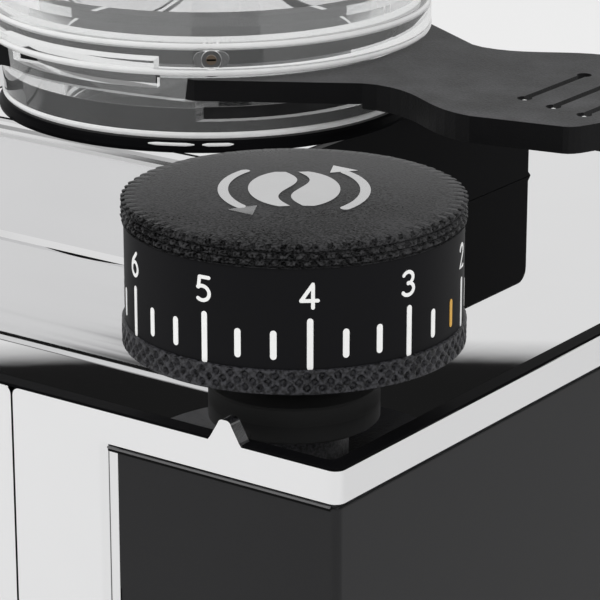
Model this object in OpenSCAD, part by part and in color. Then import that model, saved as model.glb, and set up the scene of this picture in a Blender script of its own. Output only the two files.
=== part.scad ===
// Burr coffee grinder with a square metal body, a numbered adjusting knob on the deck and a clear
// bean hopper with a gate slider. Millimetres, +Z up, front towards -Y, standing on Z = 0.

/* [Body] */
// Width over the corner frames
body_w = 190; // [186:1:204]
// Depth from the front frames to the back panel
body_d = 180; // [176:1:196]
// Height of the polished deck above the worktop
deck_h = 292; // [288:1:312]
// How far the base reaches in front of the frames
base_reach = 55; // [50:1:64]
// Thickness of the base casting
base_h = 16; // [14:1:20]
// Height of the rubber feet
foot_h = 12; // [10:1:16]
// Width of the chrome front fascia
fascia_w = 73.6; // [72:0.2:80]
// Visible width of each front stile
stile_w = 16.2; // [14:0.2:18]

/* [Deck and turret] */
// Thickness of the deck plate
deck_t = 2; // [1.6:0.2:3]
// Wall of the rim around the deck
rim_t = 2.2; // [1.8:0.1:3]
// Height of the rim above the deck
rim_rise = 2.7; // [2:0.1:3.4]
// Depth of the rim below the deck surface
rim_drop = 2.1; // [2:0.1:3]
// Width of the turret
turret_w = 70; // [68:1:84]
// Depth of the turret
turret_d = 84; // [83:1:90]
// Height of the turret above the deck
turret_h = 20.2; // [18:0.2:26]
// Distance from the front frames to the turret
turret_setback = 62; // [60:1:66]

/* [Adjusting knob] */
// Diameter of the knurled rings
knob_dia = 50; // [46:1:54]
// Distance of the knob axis from the front and from the side
knob_inset = 26.5; // [26.5:0.5:30]
// Height of the numbered band
band_h = 14.5; // [12:0.5:18]
// Height of the upper knurled ring
cap_h = 3.4; // [3:0.2:5]
// Height of the lower knurled ring
skirt_h = 3.6; // [3.2:0.2:5]
// Gap between the deck and the underside of the knob
knob_gap = 9.4; // [8:0.2:12]
// Number of knurls around each ring
knurls = 68; // [60:1:76]
// Diameter of the collar under the knob
collar_dia = 25.2; // [22:0.2:30]
// Radius of the knob shaft
shaft_r = 4; // [3.5:0.1:4.5]

/* [Adjusting gears] */
// Module of the adjusting gears
gear_m = 1; // [0.98:0.01:1.02]
// Teeth of the pinion on the knob shaft
pinion_teeth = 28; // [27:1:30]
// Teeth of the adjusting ring
ring_teeth = 87; // [86:1:90]
// Face width of the gears
gear_w = 7; // [6:0.5:8]

/* [Burrs] */
// Outer diameter of the burrs
burr_dia = 65; // [62:0.5:66]
// Thickness of each burr
burr_t = 7; // [6:0.5:8]
// Gap between the burrs at the middle setting
burr_gap = 0.6; // [0.5:0.05:1]
// Depth of the burr gap below the deck
burr_depth = 66; // [64:1:70]
// Fine grooves around each burr
burr_grooves = 36; // [24:1:40]

/* [Hopper] */
// Outer radius of the clear hopper base
base_r = 35.6; // [34.5:0.1:36]
// Radius of the flange around the hopper base
flange_r = 38.4; // [37.5:0.1:40]
// Radius of the bean throat
throat_r = 25; // [22:0.5:25]
// Height of the hopper gasket
gasket_h = 2.2; // [1.8:0.1:4]
// Height of the clear hopper above its base
hopper_h = 107; // [90:1:160]
// Radius of the hopper at its rim
hopper_r = 60; // [50:1:75]
// Wall of the hopper
hopper_wall = 2.5; // [2:0.1:3]
// Thickness of the gate slider
gate_t = 3.5; // [3:0.1:3.8]
// Reach of the gate's handle from the hopper axis
gate_reach = 91; // [90:0.5:92]

/* [Spout and fork] */
// How far the spout stands out from the fascia
spout_reach = 30; // [26:1:36]
// Length of the spout below the burr gap
spout_drop = 36; // [32:1:42]
// Free width between the fork's prongs
fork_gap = 54; // [50:1:58]
// Length of the fork's prongs
fork_len = 46; // [40:1:50]
// How far the prongs lie below the spout's mouth
fork_drop = 42; // [38:1:48]

/* [Hidden] */

// Clearances
fit = 0.05;          // radial clearance of a running fit
gap = 0.3;           // gap between pieces that move against each other
seam = 0.4;          // visible gap between the outer panels
fs = 32;             // facets of small circles
fl = 96;             // facets of large circles

// Main planes
total_d = base_reach + body_d + 5;
y_front = -total_d / 2 + base_reach;
y_back = y_front + body_d;
x_side = body_w / 2;
z_base = foot_h + base_h;
panel_t = 1.5;
panel_inset = 0.4;
x_panel = x_side - panel_inset - panel_t;     // inner face of a side panel
y_panel = y_front + panel_inset + panel_t;    // inner face of the panels' front returns
x_stile = fascia_w / 2 + seam;                // inner edge of each stile
bevel_w = 2.8;                                // bevelled strip beside each stile
z_rim = deck_h + rim_rise;
z_rim_low = deck_h - rim_drop;
z_panel_top = z_rim_low - 0.8;
z_under = deck_h - deck_t;                    // underside of the deck

// Adjusting knob
knob_x = x_side - knob_inset;
knob_y = y_front + knob_inset;
knob_r = knob_dia / 2;
band_r = knob_r - 0.5;
band_t = 2;
z_skirt = deck_h + knob_gap;
z_band = z_skirt + skirt_h;
z_cap = z_band + band_h;
collar_h = 2.7;
hub_r = 8;
knurl_depth = 0.45;

// Hopper axis and the stack above the deck
turret_y = y_front + turret_setback;
hop_shift = 8;                                // the hopper stands this far before the turret's middle
hop_y = turret_y + turret_d / 2 - hop_shift;
turret_wall = 2;
turret_round = 2.6;
z_turret = deck_h + turret_h;
spigot_r = 29.8;
spigot_h = 9.7;
z_hopper = z_turret + gasket_h;               // underside of the hopper base
floor_h = 6.3;
z_gate = z_hopper + floor_h + gap;            // underside of the gate slider
z_gate_top = z_gate + gate_t + gap;           // roof of the gate's channel
z_flange = z_gate + 4.5;
z_hopper_top = z_flange + 5.3;
relief_h = 3.7;                               // hollow under the gate, outside the throat
gate_half = 30.6;                             // half width of the gate's blade
gate_travel = 45;

// Burr stack below the deck
z_gap = deck_h - burr_depth;
burr_r = burr_dia / 2;
burr_in = 19;
carrier_t = 4;
z_lower = z_gap - burr_t;                     // underside of the lower burr
z_plate = z_lower - carrier_t;                // underside of the lower carrier
z_floor = z_plate - 1;                        // floor of the grinding chamber
floor_t = 6;
chamber_in = burr_r + 6;
chamber_r = chamber_in + 7.5;
z_upper = z_gap + burr_gap + burr_t;          // top of the upper burr
z_ring = z_upper + 18.4;                      // underside of the adjusting ring
z_chamber = z_ring - gap;
z_gear = z_ring + 1;
z_ring_top = z_gear + gear_w + 2;
z_retainer = z_ring_top + gap;
retainer_t = 2;
carrier_r = burr_r + 3.95;
neck_r = 18;
neck_in = 14;
z_neck = z_retainer + retainer_t + 8;
z_seat = z_chamber - 8.7;                     // top of the frame's shelf
shelf_t = 2.5;
flange_t = 4;
plate_t = 2.5;
z_gear_plate = z_seat + flange_t;             // underside of the gear plate
bolt_r = chamber_r + 4.5;                     // pitch radius of the chamber's bolts
motor_shaft_r = 6;

// Motor
motor_r = 50;
motor_h = 100;
z_motor = z_floor - floor_t;                  // top of the motor
z_motor_low = z_motor - motor_h;

// Spout and fascia
chute_w = 28;
chute_wall = 2;
z_chute = z_floor + 1;                        // underside of the chute's channel
z_chute_top = z_gap + 9.5;
z_spout = z_gap - spout_drop;
fascia_t = panel_inset + panel_t;             // its back lies flush with the panels' returns
window_w = 60;
window_h = 24;
z_window = z_under - 6 - window_h;
z_buttons = z_window - 10;
button_r = 4.5;
button_pitch = 20;
fork_z = z_spout - fork_drop;                 // top of the prongs
fork_t = 3;
fork_plate_h = 26;
fork_plate_rise = 8;                          // middle of the fork's plate above its prongs
fork_screw_x = 22;
z_fork_screw = fork_z + fork_plate_rise + 4;
z_start = (fork_z + fork_plate_rise + fork_plate_h / 2 + z_spout) / 2;
start_r = 5;

// Adjusting gears: the idler sits where both its centre distances hold
knob_angle = atan2(knob_y - hop_y, knob_x);
knob_dist = norm([knob_x, knob_y - hop_y]);
idler_teeth = ceil(knob_dist / gear_m - (pinion_teeth + ring_teeth) / 2) + 1;
mesh_ring = gear_m * (idler_teeth + ring_teeth) / 2;
mesh_pinion = gear_m * (idler_teeth + pinion_teeth) / 2;
idler_angle = knob_angle
    + acos((mesh_ring ^ 2 + knob_dist ^ 2 - mesh_pinion ^ 2) / (2 * mesh_ring * knob_dist));
idler_x = mesh_ring * cos(idler_angle);
idler_y = hop_y + mesh_ring * sin(idler_angle);
pinion_angle = atan2(knob_y - idler_y, knob_x - idler_x);
idler_phase = idler_angle + 180 - 180 / idler_teeth;
idler_shift = (pinion_angle - idler_phase) * idler_teeth / 360;
pinion_phase = pinion_angle + 180
    + (idler_shift - floor(idler_shift)) * 360 / pinion_teeth + 180 / pinion_teeth;
stud_r = 3;
knob_ratio = ring_teeth / pinion_teeth;

// ---------------------------------------------------------------- helpers

// Points of an arc about c, from angle a0 to a1 in n steps.
function arc(c, r, a0, a1, n = 8) =
    [for (i = [0 : n]) c + r * [cos(a0 + (a1 - a0) * i / n), sin(a0 + (a1 - a0) * i / n)]];

// Point of a cubic Bezier curve at t.
function bezier(p, t) =
    (1 - t) ^ 3 * p[0] + 3 * (1 - t) ^ 2 * t * p[1] + 3 * (1 - t) * t ^ 2 * p[2] + t ^ 3 * p[3];

// A cubic Bezier curve as n + 1 points.
function curve(p, n = 8) = [for (i = [0 : n]) bezier(p, i / n)];

// The angle that an involute adds at radius r on a gear of base radius rb.
function involute(r, rb) =
    let (a = acos(min(1, rb / r))) tan(a) * 180 / PI - a;

// Half of a tooth's angle at radius r, with backlash b at the pitch circle.
function tooth_half(r, z, b) =
    let (rp = gear_m * z / 2, rb = rp * cos(20))
    90 / z - b / (4 * rp) * 180 / PI + involute(rp, rb) - involute(max(r, rb), rb);

// Outline of an involute gear with z teeth and tooth centres at phase.
function gear_outline(z, phase, b = 0.16) =
    let (rp = gear_m * z / 2, ra = rp + 0.95 * gear_m, rf = rp - 1.2 * gear_m)
    [for (i = [0 : z - 1])
        for (s = [-1, 1])
            for (k = [0 : 3])
                let (r = s < 0 ? rf + (ra - rf) * k / 3 : ra - (ra - rf) * k / 3,
                     a = phase + 360 * i / z + s * tooth_half(r, z, b))
                r * [cos(a), sin(a)]];

// Outline of a disc with n V-shaped notches of the given depth.
function notched(r, n, depth, turn = 0, share = 0.5) =
    [for (i = [0 : n - 1])
        for (p = [[-share, r], [0, r - depth], [share, r]])
            let (a = (i + turn + p[0] / 2) * 360 / n) p[1] * [cos(a), sin(a)]];

// Block between two corners.
module block(low, high) {
    translate(low) cube(high - low);
}

// Tube with its lower end at z0.
module tube(ro, ri, z0, z1, n = fl) {
    translate([0, 0, z0])
        difference() {
            cylinder(r = ro, h = z1 - z0, $fn = n);
            translate([0, 0, -1]) cylinder(r = ri, h = z1 - z0 + 2, $fn = n);
        }
}

// Upright rod between two heights.
module rod(r, z0, z1, n = fs) {
    translate([0, 0, z0]) cylinder(r = r, h = z1 - z0, $fn = n);
}

// Flat rectangle with round corners, centred.
module round_rect(w, d, r) {
    square([w - 2 * r, d], center = true);
    square([w, d - 2 * r], center = true);
    for (x = [-1, 1], y = [-1, 1])
        translate([x * (w / 2 - r), y * (d / 2 - r)]) circle(r = r, $fn = fs);
}

// Upright block with round vertical corners, between two corners.
module round_block(low, high, r) {
    translate([(low.x + high.x) / 2, (low.y + high.y) / 2, low.z])
        linear_extrude(high.z - low.z)
            round_rect(high.x - low.x, high.y - low.y, r);
}

// Extrudes an outline in Y and Z along X, from x0 to x1.
module along_x(x0, x1) {
    translate([x0, 0, 0]) rotate([90, 0, 90]) linear_extrude(x1 - x0) children();
}

// Extrudes an outline in X and Z along Y, from y0 to y1.
module along_y(y0, y1) {
    translate([0, y1, 0]) rotate([90, 0, 0]) linear_extrude(y1 - y0) children();
}

// Places its children on the hopper and burr axis.
module on_axis() {
    translate([0, hop_y, 0]) children();
}

// Places its children on the knob's axis.
module on_knob() {
    translate([knob_x, knob_y, 0]) children();
}

// Repeats its children n times around the axis, at radius r.
module around(n, r, start = 0) {
    for (i = [0 : n - 1]) rotate(start + i * 360 / n) translate([r, 0, 0]) children();
}

// Pan-head screw that points along -Z, with its head's seat at Z = 0.
module pan_screw(shank, head_r = 3.6) {
    rotate_extrude($fn = fs)
        polygon([[0, -shank], [1.9, -shank], [1.9, 0], [head_r, 0], [head_r, 1],
                 [head_r - 0.9, 2], [1.2, 2.2], [1.2, 1.2], [0, 1.2]]);
}

// ---------------------------------------------------------------- base

feet_x = x_side - 20;
feet_y = [y_front - base_reach + 20, y_back - 22];

// Places its children at the four feet.
module at_feet() {
    for (x = [-feet_x, feet_x], y = feet_y) translate([x, y, 0]) children();
}

tray_x = 62;
tray_y = [y_front - base_reach + 6, y_front - 4];
tray_depth = 9;

module base_casting() {
    color("dimgray")
    difference() {
        round_block([-x_side, y_front - base_reach, foot_h], [x_side, y_back, z_base], 7);
        // the recess for the grounds tray
        round_block([-tray_x, tray_y[0], z_base - tray_depth], [tray_x, tray_y[1], z_base + 1], 5);
        // ribs below: pockets from the underside
        for (x = [-1, 1])
            translate([x * x_side / 2, 0, 0])
                round_block([-36, y_front + 8, foot_h - 1], [36, y_back - 40, z_base - 4], 6);
        at_feet() rod(2, foot_h - 1, foot_h + 10);
    }
}

module feet() {
    color("black")
    at_feet()
        rotate_extrude($fn = fl)
            polygon([[2.1, foot_h], [2.1, foot_h - 4], [5, foot_h - 4], [5, 0], [10.5, 0],
                     [11.2, 0.8], [13, foot_h - 1.5], [13, foot_h]]);
}

module grounds_tray() {
    wall = 1.2;
    low = [-tray_x + gap, tray_y[0] + gap, z_base - tray_depth + gap];
    color("silver")
    difference() {
        union() {
            round_block(low, [-low.x, tray_y[1] - gap, z_base + 0.6], 5 - gap);
            round_block([low.x - 2, low.y - 2, z_base + gap],
                        [2 - low.x, tray_y[1] - gap + 2, z_base + 1.5], 7);
        }
        round_block([low.x + wall, low.y + wall, low.z + wall],
                    [-low.x - wall, tray_y[1] - gap - wall, z_base + 2], 5 - gap - wall);
    }
}

// ---------------------------------------------------------------- frame and panels

post_w = 14;
post_t = 2;
frame_x = x_panel;
frame_y = [y_panel, y_back];

// Angle post in the corner where both outer faces meet.
module post(x, y, sx, sy) {
    translate([x, y, z_base])
        linear_extrude(z_under - z_base)
            polygon([[0, 0], [sx * post_w, 0], [sx * post_w, sy * post_t], [sx * post_t, sy * post_t],
                     [sx * post_t, sy * post_w], [0, sy * post_w]]);
}

module chassis_frame() {
    color("gray")
    difference() {
        union() {
            for (sx = [-1, 1]) {
                post(sx * frame_x, frame_y[0], -sx, 1);
                post(sx * frame_x, frame_y[1], -sx, -1);
                // rails under the deck
                block([min(sx * frame_x, sx * (frame_x - 8)), frame_y[0], z_under - post_t],
                      [max(sx * frame_x, sx * (frame_x - 8)), frame_y[1], z_under]);
            }
            // floor plate
            block([-frame_x, frame_y[0], z_base], [frame_x, frame_y[1], z_base + post_t]);
            // shelf that carries the grinding chamber
            block([-frame_x, frame_y[0], z_seat - shelf_t], [frame_x, frame_y[1], z_seat]);
        }
        on_axis() {
            rod(chamber_r + 0.5, z_seat - shelf_t - 1, z_seat + 1, fl);
            around(3, bolt_r) rod(2.6, z_seat - shelf_t - 1, z_seat + 1);
        }
        // step that clears the rim around the deck
        difference() {
            block([-x_side, y_front, z_rim_low], [x_side, y_back + 1, deck_h]);
            block([rim_t - x_side, y_front + rim_t, z_rim_low - 1],
                  [x_side - rim_t, y_back - rim_t, deck_h + 1]);
        }
        at_back_screws() translate([0, 0, -9]) rod(1.95, 0, 8);
        // cable pass at the back of the shelf
        round_block([-30, frame_y[1] - 16, z_seat - shelf_t - 1],
                    [30, frame_y[1] - 6, z_seat + 1], 4);
    }
}

pointer_x = knob_x + 7.3;
pointer_h = 3.4;

// The rising pointer on the front rim, opposite the numbers.
module pointer() {
    outline = concat([[-3.3, -0.5], [3.3, -0.5], [2.5, 0.5]],
                     arc([0.35, pointer_h - 0.8], 0.8, 15, 90, 4),
                     arc([-0.35, pointer_h - 0.8], 0.8, 90, 165, 4), [[-2.5, 0.5]]);
    translate([pointer_x, 0, z_rim]) along_y(y_front, y_front + rim_t) polygon(outline);
    // the ridge that runs from the pointer to the rim's inner wall
    intersection() {
        translate([pointer_x, y_front + rim_t, z_rim - 0.4])
            rotate([-90, 0, 0]) cylinder(r1 = 2.6, r2 = 1.1, h = 2.6, $fn = fs);
        block([pointer_x - 5, y_front, deck_h], [pointer_x + 5, y_front + 9, z_rim + 5]);
    }
}

// One corner frame: the rim round its half of the deck and the stile down the front.
module corner_frame(with_pointer) {
    rim_in = x_side - rim_t;
    corner_r = 1.6;
    difference() {
        union() {
            // rim: front, side and back, as one bent band
            translate([0, 0, z_rim_low])
                linear_extrude(z_rim - z_rim_low)
                    polygon(concat([[x_stile, y_front]],
                                   arc([x_side - corner_r, y_front + corner_r], corner_r, -90, 0, 6),
                                   arc([x_side - corner_r, y_back - corner_r], corner_r, 0, 90, 6),
                                   [[seam / 2, y_back], [seam / 2, y_back - rim_t],
                                    [rim_in, y_back - rim_t], [rim_in, y_front + rim_t],
                                    [x_stile, y_front + rim_t]]));
            // stile with its bevelled edge
            translate([0, 0, z_base + seam])
                linear_extrude(z_rim_low - z_base - seam + 0.01)
                    polygon([[x_stile, y_front], [x_stile + stile_w, y_front],
                             [x_stile + stile_w + bevel_w, y_front + 1],
                             [x_stile + stile_w + bevel_w, y_panel],
                             [x_stile, y_panel]]);
        }
        // round the free upper corner beside the fascia
        translate([x_stile, 0, z_rim])
            along_y(y_front - 1, y_front + rim_t + 1)
                polygon(concat([[-1, 1], [-1, -1.2]], arc([1.2, -1.2], 1.2, 180, 90, 5), [[1.2, 1]]));
    }
    if (with_pointer) pointer();
}

module corner_frame_right() {
    color("gainsboro") corner_frame(true);
}

module corner_frame_left() {
    color("gainsboro") mirror([1, 0, 0]) corner_frame(false);
}

module front_fascia() {
    half = fascia_w / 2;
    color("gainsboro")
    difference() {
        union() {
            along_y(y_front, y_front + fascia_t)
                polygon(concat([[-half, z_base + seam], [half, z_base + seam]],
                               arc([half - 1.2, z_rim - 1.2], 1.2, 0, 90, 5),
                               arc([-half + 1.2, z_rim - 1.2], 1.2, 90, 180, 5)));
            // returns that stiffen the sheet
            for (s = [-1, 1])
                block([s * (half - 4.5) - 1, y_front, z_base + 6],
                      [s * (half - 4.5) + 1, y_front + 8, z_seat - shelf_t - 2]);
        }
        // display window
        along_y(y_front - 1, y_front + fascia_t + 1)
            translate([0, z_window + window_h / 2]) round_rect(window_w, window_h, 3);
        // spout
        along_y(y_front - 1, y_front + fascia_t + 1)
            translate([0, (z_chute + z_chute_top) / 2])
                square([chute_w, z_chute_top - z_chute + 2 * chute_wall], center = true);
        for (x = [-1 : 1])
            translate([x * button_pitch, y_front + 5, z_buttons])
                rotate([90, 0, 0]) cylinder(r = button_r + fit, h = 10, $fn = fs);
        translate([0, y_front + 5, z_start])
            rotate([90, 0, 0]) cylinder(r = start_r + fit, h = 10, $fn = fs);
        for (x = [-1, 1])
            translate([x * fork_screw_x, y_front + 5, z_fork_screw])
                rotate([90, 0, 0]) cylinder(r = 2.1, h = 10, $fn = fs);
    }
}

// Wrap-round panel: the side with a short return across the front.
module side_panel() {
    x_out = x_side - panel_inset;
    y_out = y_front + panel_inset;
    x_end = x_stile + stile_w + bevel_w + seam / 2;
    r = 1.2;
    translate([0, 0, z_base + seam])
        linear_extrude(z_panel_top - z_base - seam)
            polygon(concat([[x_end, y_out]], arc([x_out - r, y_out + r], r, -90, 0, 6),
                           [[x_out, y_back - seam], [x_panel, y_back - seam],
                            [x_panel, y_panel], [x_end, y_panel]]));
}

module side_panel_right() {
    color([0.13, 0.13, 0.13]) side_panel();
}

module side_panel_left() {
    color([0.13, 0.13, 0.13]) mirror([1, 0, 0]) side_panel();
}

// ---------------------------------------------------------------- deck and turret

module top_deck() {
    color("silver")
    difference() {
        block([rim_t - x_side, y_front + rim_t, z_under],
              [x_side - rim_t, y_back - rim_t, deck_h]);
        on_axis() rod(neck_r + 18, z_under - 1, deck_h + 1, fl);
        on_knob() rod(shaft_r + 3.1, z_under - 1, deck_h + 1);
    }
}

turret_x = turret_w / 2;
cheek_t = 1.5;

// Side outline of the turret: upright front and back, round upper edges, small foot flare.
function turret_outline(s, foot) =
    let (y0 = turret_y + s, y1 = turret_y + turret_d - s, z1 = z_turret - s, r = turret_round)
    concat([[y0 - foot, deck_h], [y0, deck_h + foot]],
           arc([y0 + r, z1 - r], r, 180, 90, 6), arc([y1 - r, z1 - r], r, 90, 0, 6),
           [[y1, deck_h + foot], [y1 + foot, deck_h]]);

module turret_cover() {
    color("gainsboro")
    difference() {
        along_x(cheek_t - turret_x, turret_x - cheek_t) polygon(turret_outline(0, 0.9));
        along_x(-turret_x, turret_x)
            polygon([[turret_y + turret_wall, deck_h - 1],
                     [turret_y + turret_wall, z_turret - turret_wall],
                     [turret_y + turret_d - turret_wall, z_turret - turret_wall],
                     [turret_y + turret_d - turret_wall, deck_h - 1]]);
        on_axis() rod(spigot_r + 0.4, z_turret - 10, z_turret + 1, fl);
    }
}

module turret_cheeks() {
    color([0.05, 0.05, 0.05])
    for (s = [-1, 1])
        along_x(s > 0 ? turret_x - cheek_t : -turret_x, s > 0 ? turret_x : cheek_t - turret_x)
            polygon(turret_outline(0.2, 0.9));
}

funnel_t = 2.4;
cup_r = turret_d / 2 - hop_shift - turret_wall - gap;   // clear of the turret's front wall
z_funnel = z_hopper - spigot_h - 1.2;         // floor level of the funnel's cup

module bean_funnel() {
    top_r = spigot_r + 0.6;
    throat_out = neck_in - 0.4;
    throat_in = throat_out - 1.6;
    z_throat = z_neck - 6;
    z_cone = z_neck + 5;
    color("darkslategray")
    on_axis()
        rotate_extrude($fn = fl)
            polygon([[throat_in, z_throat], [throat_out, z_throat],
                     [throat_out, z_cone], [cup_r, z_funnel - funnel_t],
                     [cup_r, z_turret - turret_wall], [top_r, z_turret - turret_wall],
                     [top_r, z_funnel], [spigot_r - 2.6, z_funnel], [throat_in, z_cone + 0.5]]);
}

// ---------------------------------------------------------------- back

inlet_x = 48;
inlet_z = z_base + 34;
rocker_z = inlet_z + 31;
louvres = 9;
louvre_h = 9;
z_louvre = z_base + 100;

module back_panel() {
    color([0.13, 0.13, 0.13])
    difference() {
        union() {
            block([-frame_x, y_back, z_base + seam], [frame_x, y_back + panel_t, z_panel_top]);
            // hooded louvres
            for (i = [0 : louvres - 1])
                translate([0, y_back + panel_t, z_louvre + i * 1.6 * louvre_h])
                    along_x(-45, 45)
                        polygon(concat([[-0.5, 0]], [[0, 0]],
                                       arc([0, louvre_h - 3.5], 3.5, 0, 90, 6), [[-0.5, louvre_h]]));
        }
        for (i = [0 : louvres - 1])
            translate([0, y_back, z_louvre + i * 1.6 * louvre_h])
                along_x(-43.5, 43.5)
                    polygon(concat([[-1, -1], [panel_t + 2.4, -1], [panel_t + 2.4, louvre_h - 3.8]],
                                   [[panel_t + 1.4, louvre_h - 1.6], [-1, louvre_h - 1.6]]));
        translate([inlet_x, 0, (inlet_z + rocker_z) / 2])
            along_y(y_back - 1, y_back + panel_t + 1) round_rect(29, 57, 2);
        at_back_screws() translate([0, 0, -9]) rod(2.1, 0, 10);
    }
}

// Places its children at the back screws, pointing out of the panel.
module at_back_screws() {
    for (x = [-1, 1] * (frame_x - 7), z = [z_base + 12, (z_base + z_panel_top) / 2, z_panel_top - 12])
        translate([x, y_back + panel_t, z]) rotate([-90, 0, 0]) children();
}

module case_screws() {
    color("silver") {
        at_back_screws() pan_screw(6);
        at_feet() translate([0, 0, foot_h - 4]) rotate([180, 0, 0]) pan_screw(9);
        for (x = [-1, 1])
            translate([x * fork_screw_x, y_front - fork_t, z_fork_screw])
                rotate([90, 0, 0]) pan_screw(9);
    }
}

module mains_inlet() {
    z_mid = (inlet_z + rocker_z) / 2;
    color([0.1, 0.1, 0.1])
    difference() {
        union() {
            translate([inlet_x, 0, z_mid]) along_y(y_back - 24, y_back + panel_t) round_rect(28, 56, 1.6);
            translate([inlet_x, 0, z_mid])
                along_y(y_back + panel_t, y_back + panel_t + 1.6) round_rect(33, 61, 3);
        }
        // socket with its two chamfered upper corners
        translate([inlet_x, 0, inlet_z])
            along_y(y_back - 14, y_back + 10)
                polygon([[-12, -8.2], [12, -8.2], [12, 4], [7.8, 8.2], [-7.8, 8.2], [-12, 4]]);
        // well of the rocker
        translate([inlet_x, 0, rocker_z])
            along_y(y_back - 12, y_back + 10) square([13.4, 20], center = true);
    }
}

module inlet_pins() {
    color("gold")
    for (p = [[-7, -1.5], [0, 2.5], [7, -1.5]])
        translate([inlet_x + p[0], 0, inlet_z + p[1]])
            along_y(y_back - 14, y_back - 1.5) square([2, 4], center = true);
}

module power_rocker() {
    // a shallow V seen from the side, on a round pivot barrel
    pivot_y = y_back - 3;
    color("black")
    translate([inlet_x, pivot_y, rocker_z])
        along_x(-6.4, 6.4) {
            circle(r = 4, $fn = fs);
            polygon([[0, -8.8], [5.2, -8.8], [4.4, 0], [6.6, 8.8], [0, 8.8]]);
        }
}

// ---------------------------------------------------------------- front controls

module display_window() {
    color([0.03, 0.03, 0.04])
    along_y(y_front + 0.4, y_front + fascia_t)
        translate([0, z_window + window_h / 2]) round_rect(window_w - 0.2, window_h - 0.2, 2.9);
}

board_y = y_front + 14;
board_half = 33;
board_t = 1.6;

module display_board() {
    color("darkgreen") {
        block([-board_half, board_y, z_seat], [board_half, board_y + board_t, z_under - 3]);
        // screen behind the window
        block([-window_w / 2 + 3, y_front + fascia_t, z_window + 2],
              [window_w / 2 - 3, board_y, z_window + window_h - 2]);
        // push switches behind the buttons
        for (x = [-1 : 1])
            translate([x * button_pitch, board_y, z_buttons])
                rotate([90, 0, 0]) cylinder(r = 2, h = 5, $fn = fs);
    }
}

button_travel = 1.5;

// Push button with a domed cap, a collar behind the fascia and a stem.
module dose_button(x) {
    translate([x, y_front, z_buttons])
        rotate([90, 0, 0])
            rotate_extrude($fn = fl)
                polygon([[0, -fascia_t - button_travel - 2.6], [1.6, -fascia_t - button_travel - 2.6],
                         [1.6, -fascia_t - gap - 1], [button_r + 1, -fascia_t - gap - 1],
                         [button_r + 1, -fascia_t - gap], [button_r, -fascia_t - gap],
                         [button_r, 1.4], [button_r - 0.5, 1.9], [button_r - 2, 2.1], [0, 2.2]]);
}

module dose_button_single() {
    color("silver") dose_button(-button_pitch);
}

module dose_button_double() {
    color("silver") dose_button(0);
}

module dose_button_manual() {
    color("silver") dose_button(button_pitch);
}

start_travel = 3;

module start_button() {
    color("black")
    translate([0, y_front, z_start])
        rotate([90, 0, 0])
            rotate_extrude($fn = fl)
                polygon([[0, -fascia_t - 4], [start_r + 1.2, -fascia_t - 4],
                         [start_r + 1.2, -fascia_t - gap], [start_r, -fascia_t - gap],
                         [start_r, 5], [start_r - 1, 6], [0, 6.3]]);
}

// ---------------------------------------------------------------- spout

z_mouth = (z_chute + z_chute_top) / 2;
nozzle_t = 3;
nozzle_w = chute_w + 2 * nozzle_t;

// Side outline of the spout, out from the fascia by u and down to z, grown by g.
function spout_outline(g) =
    let (top = z_chute_top + g, far = spout_reach - nozzle_t + g,
         near = nozzle_t + 1 - g, u0 = g > 0 ? 0 : -1)
    concat([[u0, top]],
           curve([[3, top], [far * 0.75, top], [far, z_gap + 4], [far, z_gap - 14]], 10),
           [[far, g > 0 ? z_spout : z_spout - 1], [near, g > 0 ? z_spout : z_spout - 1],
            [near, z_chute - 6 - g], [u0, z_chute - g]]);

module spout_nozzle() {
    outer = spout_outline(nozzle_t);
    inner = spout_outline(0);
    color([0.08, 0.08, 0.08])
    difference() {
        along_x(-nozzle_w / 2, nozzle_w / 2) polygon([for (p = outer) [y_front - p[0], p[1]]]);
        along_x(nozzle_t - nozzle_w / 2, nozzle_w / 2 - nozzle_t)
            polygon([for (p = inner) [y_front - p[0], p[1]]]);
        // round the outer upright corners
        for (s = [-1, 1])
            translate([s * nozzle_w / 2, y_front - spout_reach, 0])
                linear_extrude(deck_h)
                    polygon(concat([[s * 1, -1]], [[s * -5, -1]],
                                   [for (p = arc([-5, 5], 5, -90, 0, 6)) [s * p[0], p[1]]], [[s * 1, 5]]));
    }
}

module clump_flap() {
    // a thin sheet with slits that leave five tongues
    w = chute_w - 2 * chute_wall - 0.2;
    h = z_chute_top - z_chute - 0.2;
    color([0.3, 0.3, 0.3])
    translate([0, 0, z_mouth])
        along_y(y_front + fascia_t, y_front + fascia_t + 0.8)
            difference() {
                square([w, h], center = true);
                for (i = [-2 : 2]) translate([i * 4, -2]) square([0.6, h - 2], center = true);
            }
}

module discharge_chute() {
    y_in = hop_y - sqrt(chamber_r ^ 2 - (chute_w / 2) ^ 2);
    color("gray")
    difference() {
        block([-chute_w / 2, y_front, z_chute - chute_wall], [chute_w / 2, y_in, z_chute_top + chute_wall]);
        block([chute_wall - chute_w / 2, y_front - 1, z_chute],
              [chute_w / 2 - chute_wall, y_in + 1, z_chute_top]);
        on_axis() rod(chamber_r, z_chute - chute_wall - 1, z_chute_top + chute_wall + 1, fl);
    }
}

prong_w = 8;
prong_h = 5;

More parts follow.
